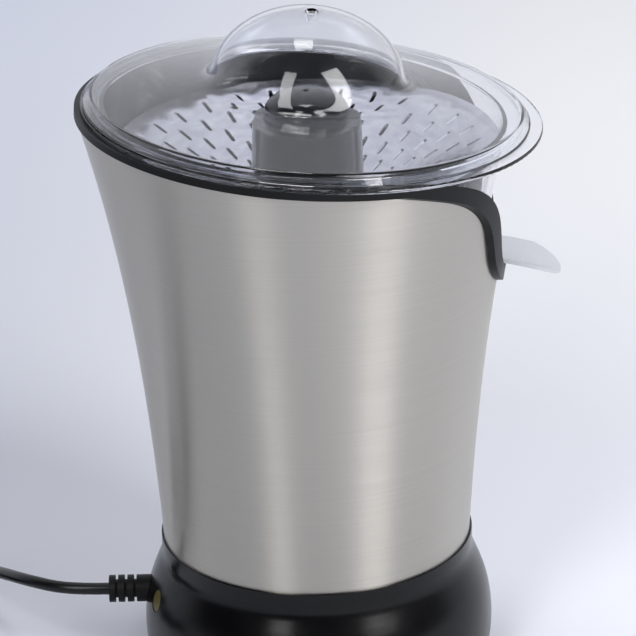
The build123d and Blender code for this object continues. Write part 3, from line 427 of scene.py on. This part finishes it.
# Dull grey screw heads.
PLATED_STEEL = SmoothMetal("Zinc plated steel", ("#9d9ea2", "#b2b3b6"), 0.38, (2.5, 2.5, 2.5))
# Pale grey with faint rolling lines.
SHEET_METAL = SmoothMetal("Rolled aluminium", ("#b3b4b7", "#c2c3c6"), 0.4, (12.0, 1.2, 12.0))
# Dark grey with level lines, one for each sheet.
IRON_STACK = SmoothMetal("Stacked iron sheet", ("#55565a", "#6a6b6f"), 0.5, (20.0, 20.0, 0.5))
# Warm yellow prongs, bush and pinion.
BRASS = SmoothMetal("Turned brass", ("#b08d4f", "#c6a564"), 0.32, (3.0, 3.0, 0.8))
# Red-brown gloss of lacquered wire.
COPPER_WIRE = SmoothMetal("Enamelled copper wire", ("#96512c", "#b86d3f"), 0.35, (0.8, 0.8, 3.0))
# Near black with two soft cloudy highlights.
BASE_PLASTIC = MouldedPlastic("Black satin ABS", ("#040405", "#070708"), 0.22, specular=0.24)
# Matt black line round the rim.
TRIM_PLASTIC = MouldedPlastic("Black rim ABS", ("#0a0a0b", "#0f0f10"), 0.42, specular=0.18)
# Dark ground behind the clear bowl.
WELL_PLASTIC = MouldedPlastic("Black well ABS", ("#070708", "#0a0a0b"), 0.35, specular=0.3)
# Black gloss that shows both softboxes as white strips.
REAMER_PLASTIC = MouldedPlastic(
    "Black gloss ABS", ("#09090a", "#0e0e10"), 0.16, grain_mm=2.0, grain_depth_mm=0.002, coat=0.3
)
# Plain dark grey inner mouldings.
INNER_PLASTIC = MouldedPlastic("Black nylon", ("#1d1d20", "#26262a"), 0.5)
# Cream wheels and blocks.
GEAR_PLASTIC = MouldedPlastic("Natural acetal", ("#d5d0c2", "#e2ddd0"), 0.45)
# Small dull olive spot beside the gland.
OLIVE_DISC = MouldedPlastic("Olive printed film", ("#453f1a", "#5f5524"), 0.35)
# Dull black without clear highlights.
SOFT_RUBBER = MouldedPlastic(
    "Black rubber", ("#060607", "#0b0b0c"), 0.5, grain_mm=0.9, grain_depth_mm=0.01, specular=0.2
)
# Black with a thin highlight along its length.
CORD_SHEATH = MouldedPlastic(
    "Black vinyl sheath", ("#060607", "#0a0a0b"), 0.3, grain_mm=0.8, grain_depth_mm=0.003, specular=0.3
)
# Edges and reflections only, with what lies behind seen through it.
CLEAR = ClearPlastic("Clear styrene")
# Pale grey lip, milky at its edge.
CLOUDY = CloudyPlastic("Frosted styrene")

# The nodes that show as CAD made them, most of them inside.
INNER_FINISHES: dict[str, Finish] = {
    "bottom_plate": INNER_PLASTIC,
    "rubber_ring": SOFT_RUBBER,
    "reamer_hub": INNER_PLASTIC,
    "gear_plate": SHEET_METAL,
    "drive_spindle": GROUND_STEEL,
    "output_gear": GEAR_PLASTIC,
    "idler_gear": GEAR_PLASTIC,
    "idler_pin": GROUND_STEEL,
    "motor_pinion": BRASS,
    "spindle_bush": BRASS,
    "shaft_seal": SOFT_RUBBER,
    "motor_can": SHEET_METAL,
    "motor_end_cap": INNER_PLASTIC,
    "stator_core": IRON_STACK,
    "rotor_core": IRON_STACK,
    "rotor_winding": COPPER_WIRE,
    "motor_shaft": GROUND_STEEL,
    "lower_bearing": GROUND_STEEL,
    "upper_bearing": GROUND_STEEL,
    "cooling_fan": INNER_PLASTIC,
    "motor_screws": PLATED_STEEL,
    "lower_posts": INNER_PLASTIC,
    "upper_posts": INNER_PLASTIC,
    "tie_rods": PLATED_STEEL,
    "microswitch": INNER_PLASTIC,
    "switch_bracket": SHEET_METAL,
    "switch_screws": PLATED_STEEL,
    "switch_button": GEAR_PLASTIC,
    "push_rod": GROUND_STEEL,
    "return_spring": GROUND_STEEL,
    "inner_lead": CORD_SHEATH,
    "cord_clamp": INNER_PLASTIC,
    "clamp_screws": PLATED_STEEL,
    "terminal_block": GEAR_PLASTIC,
}


def add_object(name: str, data: bpy.types.ID) -> bpy.types.Object:
    """Makes an object at the origin and links it to the scene.

    Args:
        name: the object's name.
        data: its mesh, curve, lamp or camera.

    Returns:
        The new object.
    """
    made = bpy.data.objects.new(name, data)
    bpy.context.scene.collection.objects.link(made)
    return made


def lathe(profile: Sequence[Point2], steps: int, closed: bool = True) -> bmesh.types.BMesh:
    """Turns a profile about the Z axis.

    Args:
        profile: points as radius and height, in millimetres.
        steps: how many pieces a full turn is cut into.
        closed: whether the profile's last point is joined to its first.

    Returns:
        A mesh in metres; on a closed profile its faces point outwards.
    """
    mesh = bmesh.new()
    verts = [mesh.verts.new((r * MM, 0.0, z * MM)) for r, z in profile]
    nexts = verts[1:] + verts[:1] if closed else verts[1:]
    edges = [mesh.edges.new(pair) for pair in zip(verts, nexts)]
    bmesh.ops.spin(
        mesh,
        geom=verts + edges,
        cent=(0.0, 0.0, 0.0),
        axis=(0.0, 0.0, 1.0),
        angle=FULL_TURN,
        steps=steps,
        use_merge=True,
    )
    bmesh.ops.remove_doubles(mesh, verts=mesh.verts[:], dist=TURNED_MERGE)
    bmesh.ops.recalc_face_normals(mesh, faces=mesh.faces[:])
    return mesh


def piece(
    name: str, mesh: bmesh.types.BMesh, finish: Finish, body: Body, stands_for: str
) -> bpy.types.Object:
    """Makes an object of a mesh, dresses it and sets it in place of a CAD node.

    Args:
        name: the piece's name.
        mesh: its shape, which is freed.
        finish: its material.
        body: the body that carries it.
        stands_for: the CAD node that it replaces.

    Returns:
        The new object.
    """
    for face in mesh.faces:
        face.smooth = True
    for edge in mesh.edges:
        if len(edge.link_faces) == 2:
            edge.smooth = edge.calc_face_angle() < SHARP_BEND
    data = bpy.data.meshes.new(name)
    mesh.to_mesh(data)
    mesh.free()
    data.materials.append(finish.material())
    made = add_object(name, data)
    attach(made, body.value)
    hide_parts(stands_for)
    return made


@dataclass(frozen=True)
class DressedCopy:
    """A piece whose CAD shape is right: copied, merged and given rounded edges and a finish."""

    name: str
    node: str
    finish: Finish
    body: Body
    slot: str
    rounding_mm: float = 0.0
    segments: int = 2

    def shape(self, node: bpy.types.Object) -> bmesh.types.BMesh:
        """Copies the node's mesh, merged, with its flat faces joined up.

        Args:
            node: the CAD node.

        Returns:
            The copy.
        """
        mesh = bmesh.new()
        mesh.from_mesh(node.data)
        bmesh.ops.remove_doubles(mesh, verts=mesh.verts[:], dist=COPIED_MERGE)
        bmesh.ops.dissolve_limit(mesh, angle_limit=FLAT_BEND, verts=mesh.verts[:], edges=mesh.edges[:])
        return mesh

    def build(self, nodes: Nodes) -> bpy.types.Object:
        """Makes the piece, rounds its sharp edges and keeps its flat faces flat to the eye.

        Args:
            nodes: the CAD nodes by name.

        Returns:
            The piece.
        """
        made = piece(self.name, self.shape(nodes[self.node]), self.finish, self.body, self.node)
        if self.rounding_mm:
            bevel = made.modifiers.new("edge_rounding", "BEVEL")
            bevel.width = self.rounding_mm * MM
            bevel.segments = self.segments
            bevel.limit_method = "ANGLE"
            bevel.angle_limit = ROUNDED_BEND
        flat = made.modifiers.new("flat_faces", "WEIGHTED_NORMAL")
        flat.weight = FLAT_WEIGHT
        flat.keep_sharp = True
        return made


def area_lamp(name: str, size_mm: Point2, watts: float, place: Matrix) -> None:
    """Adds a soft rectangular lamp.

    Args:
        name: the lamp's name.
        size_mm: its width and height.
        watts: its power.
        place: where it stands and which way it faces, from its own -Z.
    """
    data = bpy.data.lights.new(name, "AREA")
    data.shape = "RECTANGLE"
    data.size = size_mm[0] * MM
    data.size_y = size_mm[1] * MM
    data.energy = watts
    add_object(name, data).matrix_world = place


@dataclass(frozen=True)
class Softbox:
    """A tall soft lamp that faces the object; its turn runs from the camera's side to the right."""

    name: str
    turn_deg: float
    width_mm: float
    watts: float
    height_mm: float = 1750.0
    low_mm: float = 490.0
    reach_mm: float = 1800.0
    target_z_mm: float = 140.0

    def build(self) -> None:
        """Adds the lamp."""
        turn = math.radians(self.turn_deg)
        place = Vector((math.sin(turn), -math.cos(turn), 0.0)) * self.reach_mm * MM
        place.z = (self.low_mm + self.height_mm / 2) * MM
        target = Vector((0.0, 0.0, self.target_z_mm * MM))
        aim = (target - place).to_track_quat("-Z", "Y")
        stand = Matrix.Translation(place) @ aim.to_matrix().to_4x4()
        area_lamp(self.name, (self.width_mm, self.height_mm), self.watts, stand)


@dataclass
class Studio:
    """The pale floor, the lamps and the camera at the photograph's viewpoint."""

    # The camera, fitted to the photograph.
    elevation_deg: float = 22.55
    roll_deg: float = -1.44
    distance_mm: float = 1300.0
    target_z_mm: float = 140.5
    focal_px: float = 3424.0
    frame_px: float = 636.0
    target_px: Point2 = (311.5, 319.4)
    sensor_mm: float = 36.0
    clip_m: Point2 = (0.05, 50.0)
    # The lamps.
    softboxes: tuple[Softbox, ...] = (
        Softbox("left softbox", turn_deg=-26.0, width_mm=500.0, watts=18.0),
        Softbox("right softbox", turn_deg=43.0, width_mm=760.0, watts=36.0),
    )
    overhead_size_mm: float = 360.0
    overhead_watts: float = 3.4
    overhead_mm: Point3 = (0.0, 240.0, 1700.0)
    overhead_lean_deg: float = -9.3
    # The floor, with painted light and shade: its colours from near to far, darker on the left, and where
    # they change.
    floor_size_mm: float = 12000.0
    floor_left_shaded: tuple[str, str] = ("#cfd2db", "#e2e6f4")
    floor_left_mm: Point2 = (250.0, 950.0)
    floor_right_lit: tuple[str, str] = ("#ebedf4", "#ffffff")
    floor_right_mm: Point2 = (0.0, 700.0)
    floor_fade_mm: float = 260.0
    floor_roughness: float = 0.9
    floor_specular: float = 0.1
    # The sky: its colours, and the spans of a direction's X and Y over which they change.
    front_left: str = "#3a3b40"
    front_right: str = "#75777e"
    front_span: Point2 = (-0.7, 0.9)
    back_sky: str = "#eef0f8"
    back_span: Point2 = (-0.1, 0.3)
    sky_strength: float = 0.96

    def camera(self) -> None:
        """Sets the camera by the fitted view, with the photograph's framing as a shift."""
        data = bpy.data.cameras.new("view")
        data.sensor_width = self.sensor_mm
        data.lens = self.focal_px / self.frame_px * self.sensor_mm
        data.shift_x = (self.frame_px / 2 - self.target_px[0]) / self.frame_px
        data.shift_y = (self.target_px[1] - self.frame_px / 2) / self.frame_px
        data.clip_start, data.clip_end = self.clip_m
        tilt = Matrix.Rotation(math.radians(90.0 - self.elevation_deg), 4, "X")
        roll = Matrix.Rotation(math.radians(self.roll_deg), 4, "Z")
        back = tilt @ Vector((0.0, 0.0, self.distance_mm * MM))
        place = Vector((0.0, 0.0, self.target_z_mm * MM)) + back
        made = add_object("view", data)
        made.matrix_world = Matrix.Translation(place) @ tilt @ roll
        bpy.context.scene.camera = made

    def lamps(self) -> None:
        """Sets two tall softboxes in front and a small lamp overhead."""
        for softbox in self.softboxes:
            softbox.build()
        lean = Matrix.Rotation(math.radians(self.overhead_lean_deg), 4, "X")
        place = Matrix.Translation(Vector(self.overhead_mm) * MM) @ lean
        area_lamp("overhead lamp", (self.overhead_size_mm,) * 2, self.overhead_watts, place)

    def fade(
        self,
        tree: bpy.types.NodeTree,
        value: bpy.types.NodeSocket,
        span: Point2,
        ends: tuple[object, object],
    ) -> bpy.types.NodeSocket:
        """Fades smoothly from one colour to another.

        Args:
            tree: the node tree that gets the nodes.
            value: what the fade follows.
            span: the values at which it starts and ends.
            ends: the two colours, or the sockets that give them.

        Returns:
            The colour's socket.
        """
        share = add_node(
            tree,
            "ShaderNodeMapRange",
            {"interpolation_type": "SMOOTHSTEP"},
            {"Value": value, "From Min": span[0], "From Max": span[1]},
        )
        mix = add_node(
            tree,
            "ShaderNodeMix",
            {"data_type": "RGBA"},
            {"Factor": share.outputs["Result"], MIX_FIRST: ends[0], MIX_SECOND: ends[1]},
        )
        return mix.outputs[MIX_RESULT]

    def sky(self) -> None:
        """Fills the world with soft light: dim in front, dimmest at its left, bright behind."""
        world = bpy.data.worlds.new("studio")
        world.use_nodes = True
        tree = world.node_tree
        tree.nodes.clear()
        coords = add_node(tree, "ShaderNodeTexCoord")
        way = add_node(tree, "ShaderNodeSeparateXYZ", inputs={0: coords.outputs["Generated"]})
        sides = (srgb(self.front_left), srgb(self.front_right))
        front = self.fade(tree, way.outputs["X"], self.front_span, sides)
        whole = self.fade(tree, way.outputs["Y"], self.back_span, (front, srgb(self.back_sky)))
        light = add_node(
            tree, "ShaderNodeBackground", inputs={"Color": whole, "Strength": self.sky_strength}
        )
        add_node(tree, "ShaderNodeOutputWorld", inputs={"Surface": light.outputs["Background"]})
        bpy.context.scene.world = world

    def floor_painted_light(self, tree: bpy.types.NodeTree) -> bpy.types.NodeSocket:
        """Paints light and shade into the floor's colour: darker on the left and paler on the right, and on
        each side paler from front to back.

        Args:
            tree: the floor material's node tree.

        Returns:
            The colour's socket.
        """
        coords = add_node(tree, "ShaderNodeTexCoord")
        place = add_node(tree, "ShaderNodeSeparateXYZ", inputs={0: coords.outputs["Object"]})
        sides = []
        for tones, depth in ((self.floor_left_shaded, self.floor_left_mm), (self.floor_right_lit, self.floor_right_mm)):
            span = (depth[0] * MM, depth[1] * MM)
            ends = (srgb(tones[0]), srgb(tones[1]))
            sides.append(self.fade(tree, place.outputs["Y"], span, ends))
        # Painted shade on the left side and painted light on the right, standing in for the stronger lamp on
        # the right.
        reach = self.floor_fade_mm * MM
        return self.fade(tree, place.outputs["X"], (-reach, reach), (sides[0], sides[1]))

    def floor(self) -> None:
        """Lays the pale floor, with painted shade to the left and painted light further back."""
        mesh = bmesh.new()
        bmesh.ops.create_grid(mesh, x_segments=2, y_segments=2, size=self.floor_size_mm * MM / 2)
        data = bpy.data.meshes.new("floor")
        mesh.to_mesh(data)
        mesh.free()
        made = add_object("floor", data)
        paper = bpy.data.materials.new("Backdrop paper")
        paper.use_nodes = True
        tree = paper.node_tree
        tree.nodes.clear()
        shader = add_node(
            tree,
            "ShaderNodeBsdfPrincipled",
            inputs={
                # The floor's base colour carries painted light and shade.
                "Base Color": self.floor_painted_light(tree),
                "Roughness": self.floor_roughness,
                "Specular IOR Level": self.floor_specular,
            },
        )
        add_node(tree, "ShaderNodeOutputMaterial", inputs={"Surface": shader.outputs["BSDF"]})
        data.materials.append(paper)

    def build(self) -> None:
        """Builds the whole studio."""
        bpy.context.scene.view_settings.view_transform = "Standard"
        self.camera()
        self.lamps()
        self.sky()
        self.floor()


@dataclass
class CordSet:
    """The cord from the gland to its tied coil and plug, in millimetres."""

    diameter: float = 4.8
    exit: Point3 = (-81.83, 0.0, 28.4)
    length: float = 1030.0
    coil_centre: Point2 = (-181.0, 34.0)
    coil_radius: float = 34.0
    coil_step: float = 3.15
    low_z: float = 3.4
    layer: float = 5.5
    low_half_turns: int = 5
    top_half_turns: int = 4
    tail: float = 20.0
    per_half_turn: int = 6
    round_steps: int = 5
    line_steps: int = 6
    fittings: tuple[DressedCopy, ...] = (
        DressedCopy("strain_relief", "cord_gland", SOFT_RUBBER, Body.HOUSING, "rubber", 0.35),
        DressedCopy("coil_tie", "cord_tie", CORD_SHEATH, Body.HOUSING, "cord", 0.3),
        DressedCopy("plug", "plug_body", CORD_SHEATH, Body.HOUSING, "cord", 0.8, 3),
        DressedCopy("plug_prongs", "plug_pins", BRASS, Body.HOUSING, "brass", 0.8, 3),
    )

    def route(self) -> list[Point3]:
        """The free stretch, up to where the coil starts.

        Returns:
            Control points, given one by one.
        """
        back_y = self.coil_centre[1] + self.coil_radius
        return [
            self.exit,
            (-98.0, 0.0, 28.4),
            (-114.0, 9.0, 28.2),
            (-125.0, 25.0, 23.5),
            (-133.0, 43.0, 16.5),
            (-143.0, 58.0, 9.0),
            (-157.8, back_y, self.low_z),
            (self.coil_centre[0] + self.diameter, back_y, self.low_z),
        ]

    def turn(
        self, side: int, near_y: float, radius: float, low: float, high: float, share: float = 1.0
    ) -> list[Point3]:
        """Control points of half a turn, or a share of one.

        Args:
            side: 1 if it starts at the coil's back, -1 at its front.
            near_y: the Y of its start.
            radius: its radius.
            low: the height at its start.
            high: the height at its end.
            share: how much of the half turn is made.

        Returns:
            The points, outside the arc so that the spline lies on it.
        """
        count = round(self.per_half_turn * share)
        step = math.pi / self.per_half_turn
        reach = radius / math.cos(step / 2)
        centre_y = near_y - side * radius
        points = []
        for i in range(count):
            angle = side * math.pi / 2 + step * (i + 0.5)
            x = self.coil_centre[0] + reach * math.cos(angle)
            y = centre_y + reach * math.sin(angle)
            points.append((x, y, low + (high - low) * (i + 0.5) / count))
        return points

    def coil(self) -> list[Point3]:
        """The coil in two layers, inwards and out again, then the tail that ends at the plug.

        Returns:
            Control points that carry on the free stretch.
        """
        low, top = self.low_z, self.low_z + self.layer
        inner = self.coil_radius - self.low_half_turns * self.coil_step
        outer = inner + (self.top_half_turns + 1) * self.coil_step
        winds = [(self.coil_radius - i * self.coil_step, low, low) for i in range(self.low_half_turns)]
        winds += [(inner, low, top)]
        winds += [(inner + i * self.coil_step, top, top) for i in range(1, self.top_half_turns + 1)]
        side = 1
        y = self.coil_centre[1] + self.coil_radius
        points: list[Point3] = []
        for radius, start_z, end_z in winds:
            points += self.turn(side, y, radius, start_z, end_z)
            y -= 2 * side * radius
            side = -side
        points += self.turn(side, y, outer, top, top, share=0.5)
        left = self.coil_centre[0] - outer
        points += [(left, y - outer - self.tail / 2, top), (left, y - outer - self.tail, top)]
        return points

    def build(self, nodes: Nodes) -> list[bpy.types.Object]:
        """Builds the cord, the gland, the tie and the plug.

        Args:
            nodes: the CAD nodes by name.

        Returns:
            The pieces.
        """
        points = self.route() + self.coil()
        data = bpy.data.curves.new("mains_cord", "CURVE")
        data.dimensions = "3D"
        data.bevel_depth = self.diameter / 2 * MM
        data.bevel_resolution = self.round_steps
        data.use_fill_caps = True
        spline = data.splines.new("NURBS")
        spline.points.add(len(points) - 1)
        for control, at in zip(spline.points, points):
            control.co = (at[0] * MM, at[1] * MM, at[2] * MM, 1.0)
        spline.order_u = 3
        spline.use_endpoint_u = True
        spline.resolution_u = self.line_steps
        data.materials.append(CORD_SHEATH.material())
        cord = add_object("mains_cord", data)
        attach(cord, Body.HOUSING.value)
        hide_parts("power_cord", "cord_coil")
        fittings = [fitting.build(nodes) for fitting in self.fittings]
        return [cord] + fittings


@dataclass
class SteelBody:
    """The brushed shell, in millimetres: a flare cut on the slant under the rim and round the notch."""

    foot_r: float = 59.25
    foot_flare: float = 0.060
    top_r: float = 86.62
    top_flare: float = 0.2837
    foot_z: float = 50.5
    top_z: float = 232.0
    wall: float = 0.8
    rim_z: float = 222.0
    notch_floor_r: float = 38.9
    notch_centre_z: float = 198.2
    notch_lean_deg: float = 31.0
    notch_wall: float = 11.5
    notch_shoulder_r: float = 66.2
    notch_mouth_deg: float = 64.4
    rows: int = 72
    steps: int = 256
    slant_tries: int = 12
    notch_tries: int = 30

    def radius(self, z: float) -> float:
        """The outer radius at a height, on a Bezier curve from foot to top.

        Args:
            z: the height.

        Returns:
            The radius.
        """
        span = self.top_z - self.foot_z
        t = (z - self.foot_z) / span
        u = 1.0 - t
        low_handle = self.foot_r + self.foot_flare * span / 3
        high_handle = self.top_r - self.top_flare * span / 3
        ends = self.foot_r * u**3 + self.top_r * t**3
        return ends + 3 * low_handle * u * u * t + 3 * high_handle * u * t * t

    def notch_width(self, z: float) -> float:
        """Half the notch's width at a height: floor arc, wall, shoulder arc and mouth.

        Args:
            z: the height.

        Returns:
            Half the width, or less than nothing below the notch.
        """
        lean = math.radians(self.notch_lean_deg)
        mouth = math.radians(self.notch_mouth_deg)
        floor_r = self.notch_floor_r
        shoulder_r = self.notch_shoulder_r
        foot = (floor_r * math.cos(lean), self.notch_centre_z - floor_r * math.sin(lean))
        bend = (foot[0] + self.notch_wall * math.sin(lean), foot[1] + self.notch_wall * math.cos(lean))
        hub = (bend[0] + shoulder_r * math.cos(lean), bend[1] - shoulder_r * math.sin(lean))
        top = (hub[0] - shoulder_r * math.cos(mouth), hub[1] + shoulder_r * math.sin(mouth))
        if z <= self.notch_centre_z - floor_r:
            return -1.0
        if z < foot[1]:
            return math.sqrt(floor_r**2 - (self.notch_centre_z - z) ** 2)
        if z < bend[1]:
            return foot[0] + (z - foot[1]) * math.tan(lean)
        if z < top[1]:
            return hub[0] - math.sqrt(shoulder_r**2 - (z - hub[1]) ** 2)
        return top[0] + (z - top[1]) * math.tan(mouth)

    def rim_height(self, turn: float) -> float:
        """The height of the cut edge, on the slant or round the notch.

        Args:
            turn: the angle about the axis, from the spout.

        Returns:
            The height.
        """
        z = self.rim_z
        for _ in range(self.slant_tries):
            z = self.rim_z - self.radius(z) * math.cos(turn) * math.tan(SLANT)
        if math.cos(turn) <= 0.0:
            return z
        low, high = self.foot_z, z
        for _ in range(self.notch_tries):
            middle = (low + high) / 2
            if self.radius(middle) * abs(math.sin(turn)) < self.notch_width(middle):
                high = middle
            else:
                low = middle
        return high

    def build(self) -> list[bpy.types.Object]:
        """Turns the flare, draws its upper edge to the cut and gives it its wall.

        Returns:
            The shell.
        """
        span = self.top_z - self.foot_z
        levels = [self.foot_z + span * i / self.rows for i in range(self.rows + 1)]
        mesh = lathe([(self.radius(z), z) for z in levels], self.steps, closed=False)
        tops: dict[int, float] = {}
        for vert in mesh.verts:
            turn = math.atan2(vert.co.y, vert.co.x)
            column = round(turn / FULL_TURN * self.steps)
            if column not in tops:
                tops[column] = self.rim_height(turn)
            share = (vert.co.z / MM - self.foot_z) / span
            z = self.foot_z + share * (tops[column] - self.foot_z)
            r = self.radius(z)
            vert.co = (r * math.cos(turn) * MM, r * math.sin(turn) * MM, z * MM)
        # An open shell has no inside, so its faces may all point inwards.
        if sum(f.normal.dot(f.calc_center_median().xy.to_3d()) for f in mesh.faces) < 0.0:
            bmesh.ops.reverse_faces(mesh, faces=mesh.faces[:])
        made = piece("brushed_shell", mesh, STEEL_BODY, Body.HOUSING, "steel_shell")
        wall = made.modifiers.new("sheet_wall", "SOLIDIFY")
        wall.thickness = self.wall * MM
        wall.offset = -1.0
        return [made]


@dataclass
class DressedNodes:
    """The pieces whose CAD shape is right, as dressed copies, and the finishes of the inner nodes."""

    lip_x: float = 66.5
    lip_z: float = 178.0
    copies: tuple[DressedCopy, ...] = (
        DressedCopy("moulded_base", "base_shell", BASE_PLASTIC, Body.HOUSING, "base", 0.4),
        DressedCopy("bare_disc", "rating_disc", OLIVE_DISC, Body.HOUSING, "disc", 0.2),
        DressedCopy("rim_trim", "trim_ring", TRIM_PLASTIC, Body.HOUSING, "trim", 0.5),
        DressedCopy("well_lining", "inner_well", WELL_PLASTIC, Body.HOUSING, "well", 0.3),
        DressedCopy("clear_bowl", "juice_bowl", CLEAR, Body.BOWL, "clear"),
        DressedCopy("funnel_strainer", "strainer", STRAINER_STEEL, Body.STRAINER, "polished_steel"),
        DressedCopy("fluted_reamer", "reamer", REAMER_PLASTIC, Body.REAMER, "reamer", 0.5),
    )

    def frost_lip(self, bowl: bpy.types.Object) -> None:
        """Gives the bowl's pouring lip, in front of lip_x and under lip_z, its cloudy finish.

        Args:
            bowl: the bowl's piece.
        """
        bowl.data.materials.append(CLOUDY.material())
        for face in bowl.data.polygons:
            if face.center.x > self.lip_x * MM and face.center.z < self.lip_z * MM:
                face.material_index = 1

    def build(self, nodes: Nodes) -> list[bpy.types.Object]:
        """Builds the dressed copies, then gives the inner nodes their finishes.

        Args:
            nodes: the CAD nodes by name.

        Returns:
            The copies and the inner nodes.
        """
        made: list[bpy.types.Object] = []
        for copy in self.copies:
            made.append(copy.build(nodes))
            if copy.node == "juice_bowl":
                self.frost_lip(made[-1])
        for node, finish in INNER_FINISHES.items():
            nodes[node].data.materials.clear()
            nodes[node].data.materials.append(finish.material())
            made.append(nodes[node])
        return made


@dataclass
class Lid:
    """The clear lid, in millimetres: a leaning rim, a shallow cone and a dome with a vent.

    It is turned about its own axis and then set on the slant.
    """

    seat_z: float = 224.8
    rim_r: float = 83.12
    rim_h: float = 4.1
    rim_w: float = 3.3
    rim_round: float = 1.2
    rim_pull: float = 2 / 3
    foot_h: float = 0.5
    rise: float = 6.1
    wall: float = 1.3
    dome_r: float = 36.5
    dome_h: float = 28.3
    flare_w: float = 5.5
    flare_start_deg: float = 12.0
    flare_reach: float = 0.45
    vent_r: float = 1.7
    vent_tip_r: float = 0.8
    vent_h: float = 3.5
    vent_wall: float = 0.8
    vent_edge: float = 0.25
    vent_margin: float = 0.4
    mouth_drop: float = 0.02
    root_drop: float = 0.15
    rim_steps: int = 8
    flare_steps: int = 10
    arc_steps: int = 28
    turn_steps: int = 160

    def fall(self) -> float:
        """How much the plate drops for each millimetre outwards."""
        return self.rise / (self.rim_r - self.rim_w - self.dome_r - self.flare_w)

    def rim(self) -> list[Point2]:
        """The rim's outer side: a low foot, a leaning wall and a rounded corner onto the plate.

        Returns:
            Points as radius and height above the seat, from the seat up.
        """
        corner = Vector((self.rim_r - self.rim_w, self.rim_h, 0.0))
        foot = Vector((self.rim_r, self.foot_h, 0.0))
        low = corner + (foot - corner).normalized() * self.rim_round
        high = corner + Vector((-1.0, self.fall(), 0.0)).normalized() * self.rim_round
        handles = (low.lerp(corner, self.rim_pull), high.lerp(corner, self.rim_pull))
        bend = interpolate_bezier(low, *handles, high, self.rim_steps)
        return [(self.rim_r, 0.0), (self.rim_r, self.foot_h)] + [(p.x, p.y) for p in bend]

    def rim_lining(self) -> list[Point2]:
        """The rim's inner side, from the plate's underside to the seat.

        Returns:
            Its two ends as radius and height.
        """
        lean = self.rim_w / (self.rim_h - self.foot_h)
        foot = self.rim_r + lean * self.foot_h - self.wall * math.hypot(1.0, lean)
        run = foot - self.dome_r - self.flare_w
        high = (self.rim_h + self.rise - self.wall - self.fall() * run) / (1.0 - self.fall() * lean)
        return [(foot - lean * high, high), (foot, 0.0)]

    def dome_side(self, inset: float) -> list[Point2]:
        """The dome's side, from its flared foot to its top.

        Args:
            inset: how far inside the outer face the side lies.

        Returns:
            Points as radius and height.
        """
        across = self.dome_r - inset
        high = self.dome_h - inset
        foot = self.rim_h + self.rise
        start = math.radians(self.flare_start_deg)
        first = Vector((self.dome_r + self.flare_w, foot - inset, 0.0))
        last = Vector((across * math.cos(start), foot + high * math.sin(start), 0.0))
        reach = self.flare_reach * (last - first).length
        along = Vector((-1.0, self.fall(), 0.0)).normalized() * reach
        up = Vector((-across * math.sin(start), high * math.cos(start), 0.0)).normalized() * reach
        bend = interpolate_bezier(first, first + along, last - up, last, self.flare_steps)
        turn = 0.5 * math.pi - start
        angles = [start + turn * i / self.arc_steps for i in range(1, self.arc_steps)]
        side = [(p.x, p.y) for p in bend]
        return side + [(across * math.cos(a), foot + high * math.sin(a)) for a in angles]

    def outline(self) -> list[Point2]:
        """The closed outline of the lid's wall: up its outside, down the vent and back along its inside.

        Returns:
            Points as radius and height above the seat.
        """
        top = self.rim_h + self.rise + self.dome_h
        under = top - self.wall
        tip = under - self.vent_h
        root_r = self.vent_r + self.vent_wall
        points = self.rim()
        points += [p for p in self.dome_side(0.0) if p[0] > self.vent_r + self.vent_margin]
        points += [(self.vent_r + self.vent_edge, top - self.mouth_drop), (self.vent_r, top - self.vent_edge)]
        points += [(self.vent_r, top - self.wall / 2), (self.vent_tip_r, tip)]
        points += [(self.vent_tip_r + self.vent_wall, tip), (root_r, under - self.root_drop)]
        points += [p for p in reversed(self.dome_side(self.wall)) if p[0] > root_r + self.vent_margin]
        return points + self.rim_lining()

    def build(self) -> list[bpy.types.Object]:
        """Turns the lid and sets it on the slanted rim.

        Returns:
            The lid.
        """
        mesh = lathe(self.outline(), self.turn_steps)
        place = Matrix.Translation((0.0, 0.0, self.seat_z * MM)) @ Matrix.Rotation(SLANT, 4, "Y")
        bmesh.ops.transform(mesh, matrix=place, verts=mesh.verts[:])
        return [piece("clear_lid", mesh, CLEAR, Body.LID, "lid")]


def main() -> None:
    """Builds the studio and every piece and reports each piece."""
    logging.basicConfig(level=logging.INFO, format="%(name)s: %(message)s")
    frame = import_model()
    nodes = frame["nodes"]
    Studio().build()
    pieces = CordSet().build(nodes)
    pieces += SteelBody().build()
    pieces += DressedNodes().build(nodes)
    pieces += Lid().build()
    for made in pieces:
        LOG.info("%s is made of %s", made.name, made.data.materials[0].name)


if __name__ == "__main__":
    main()
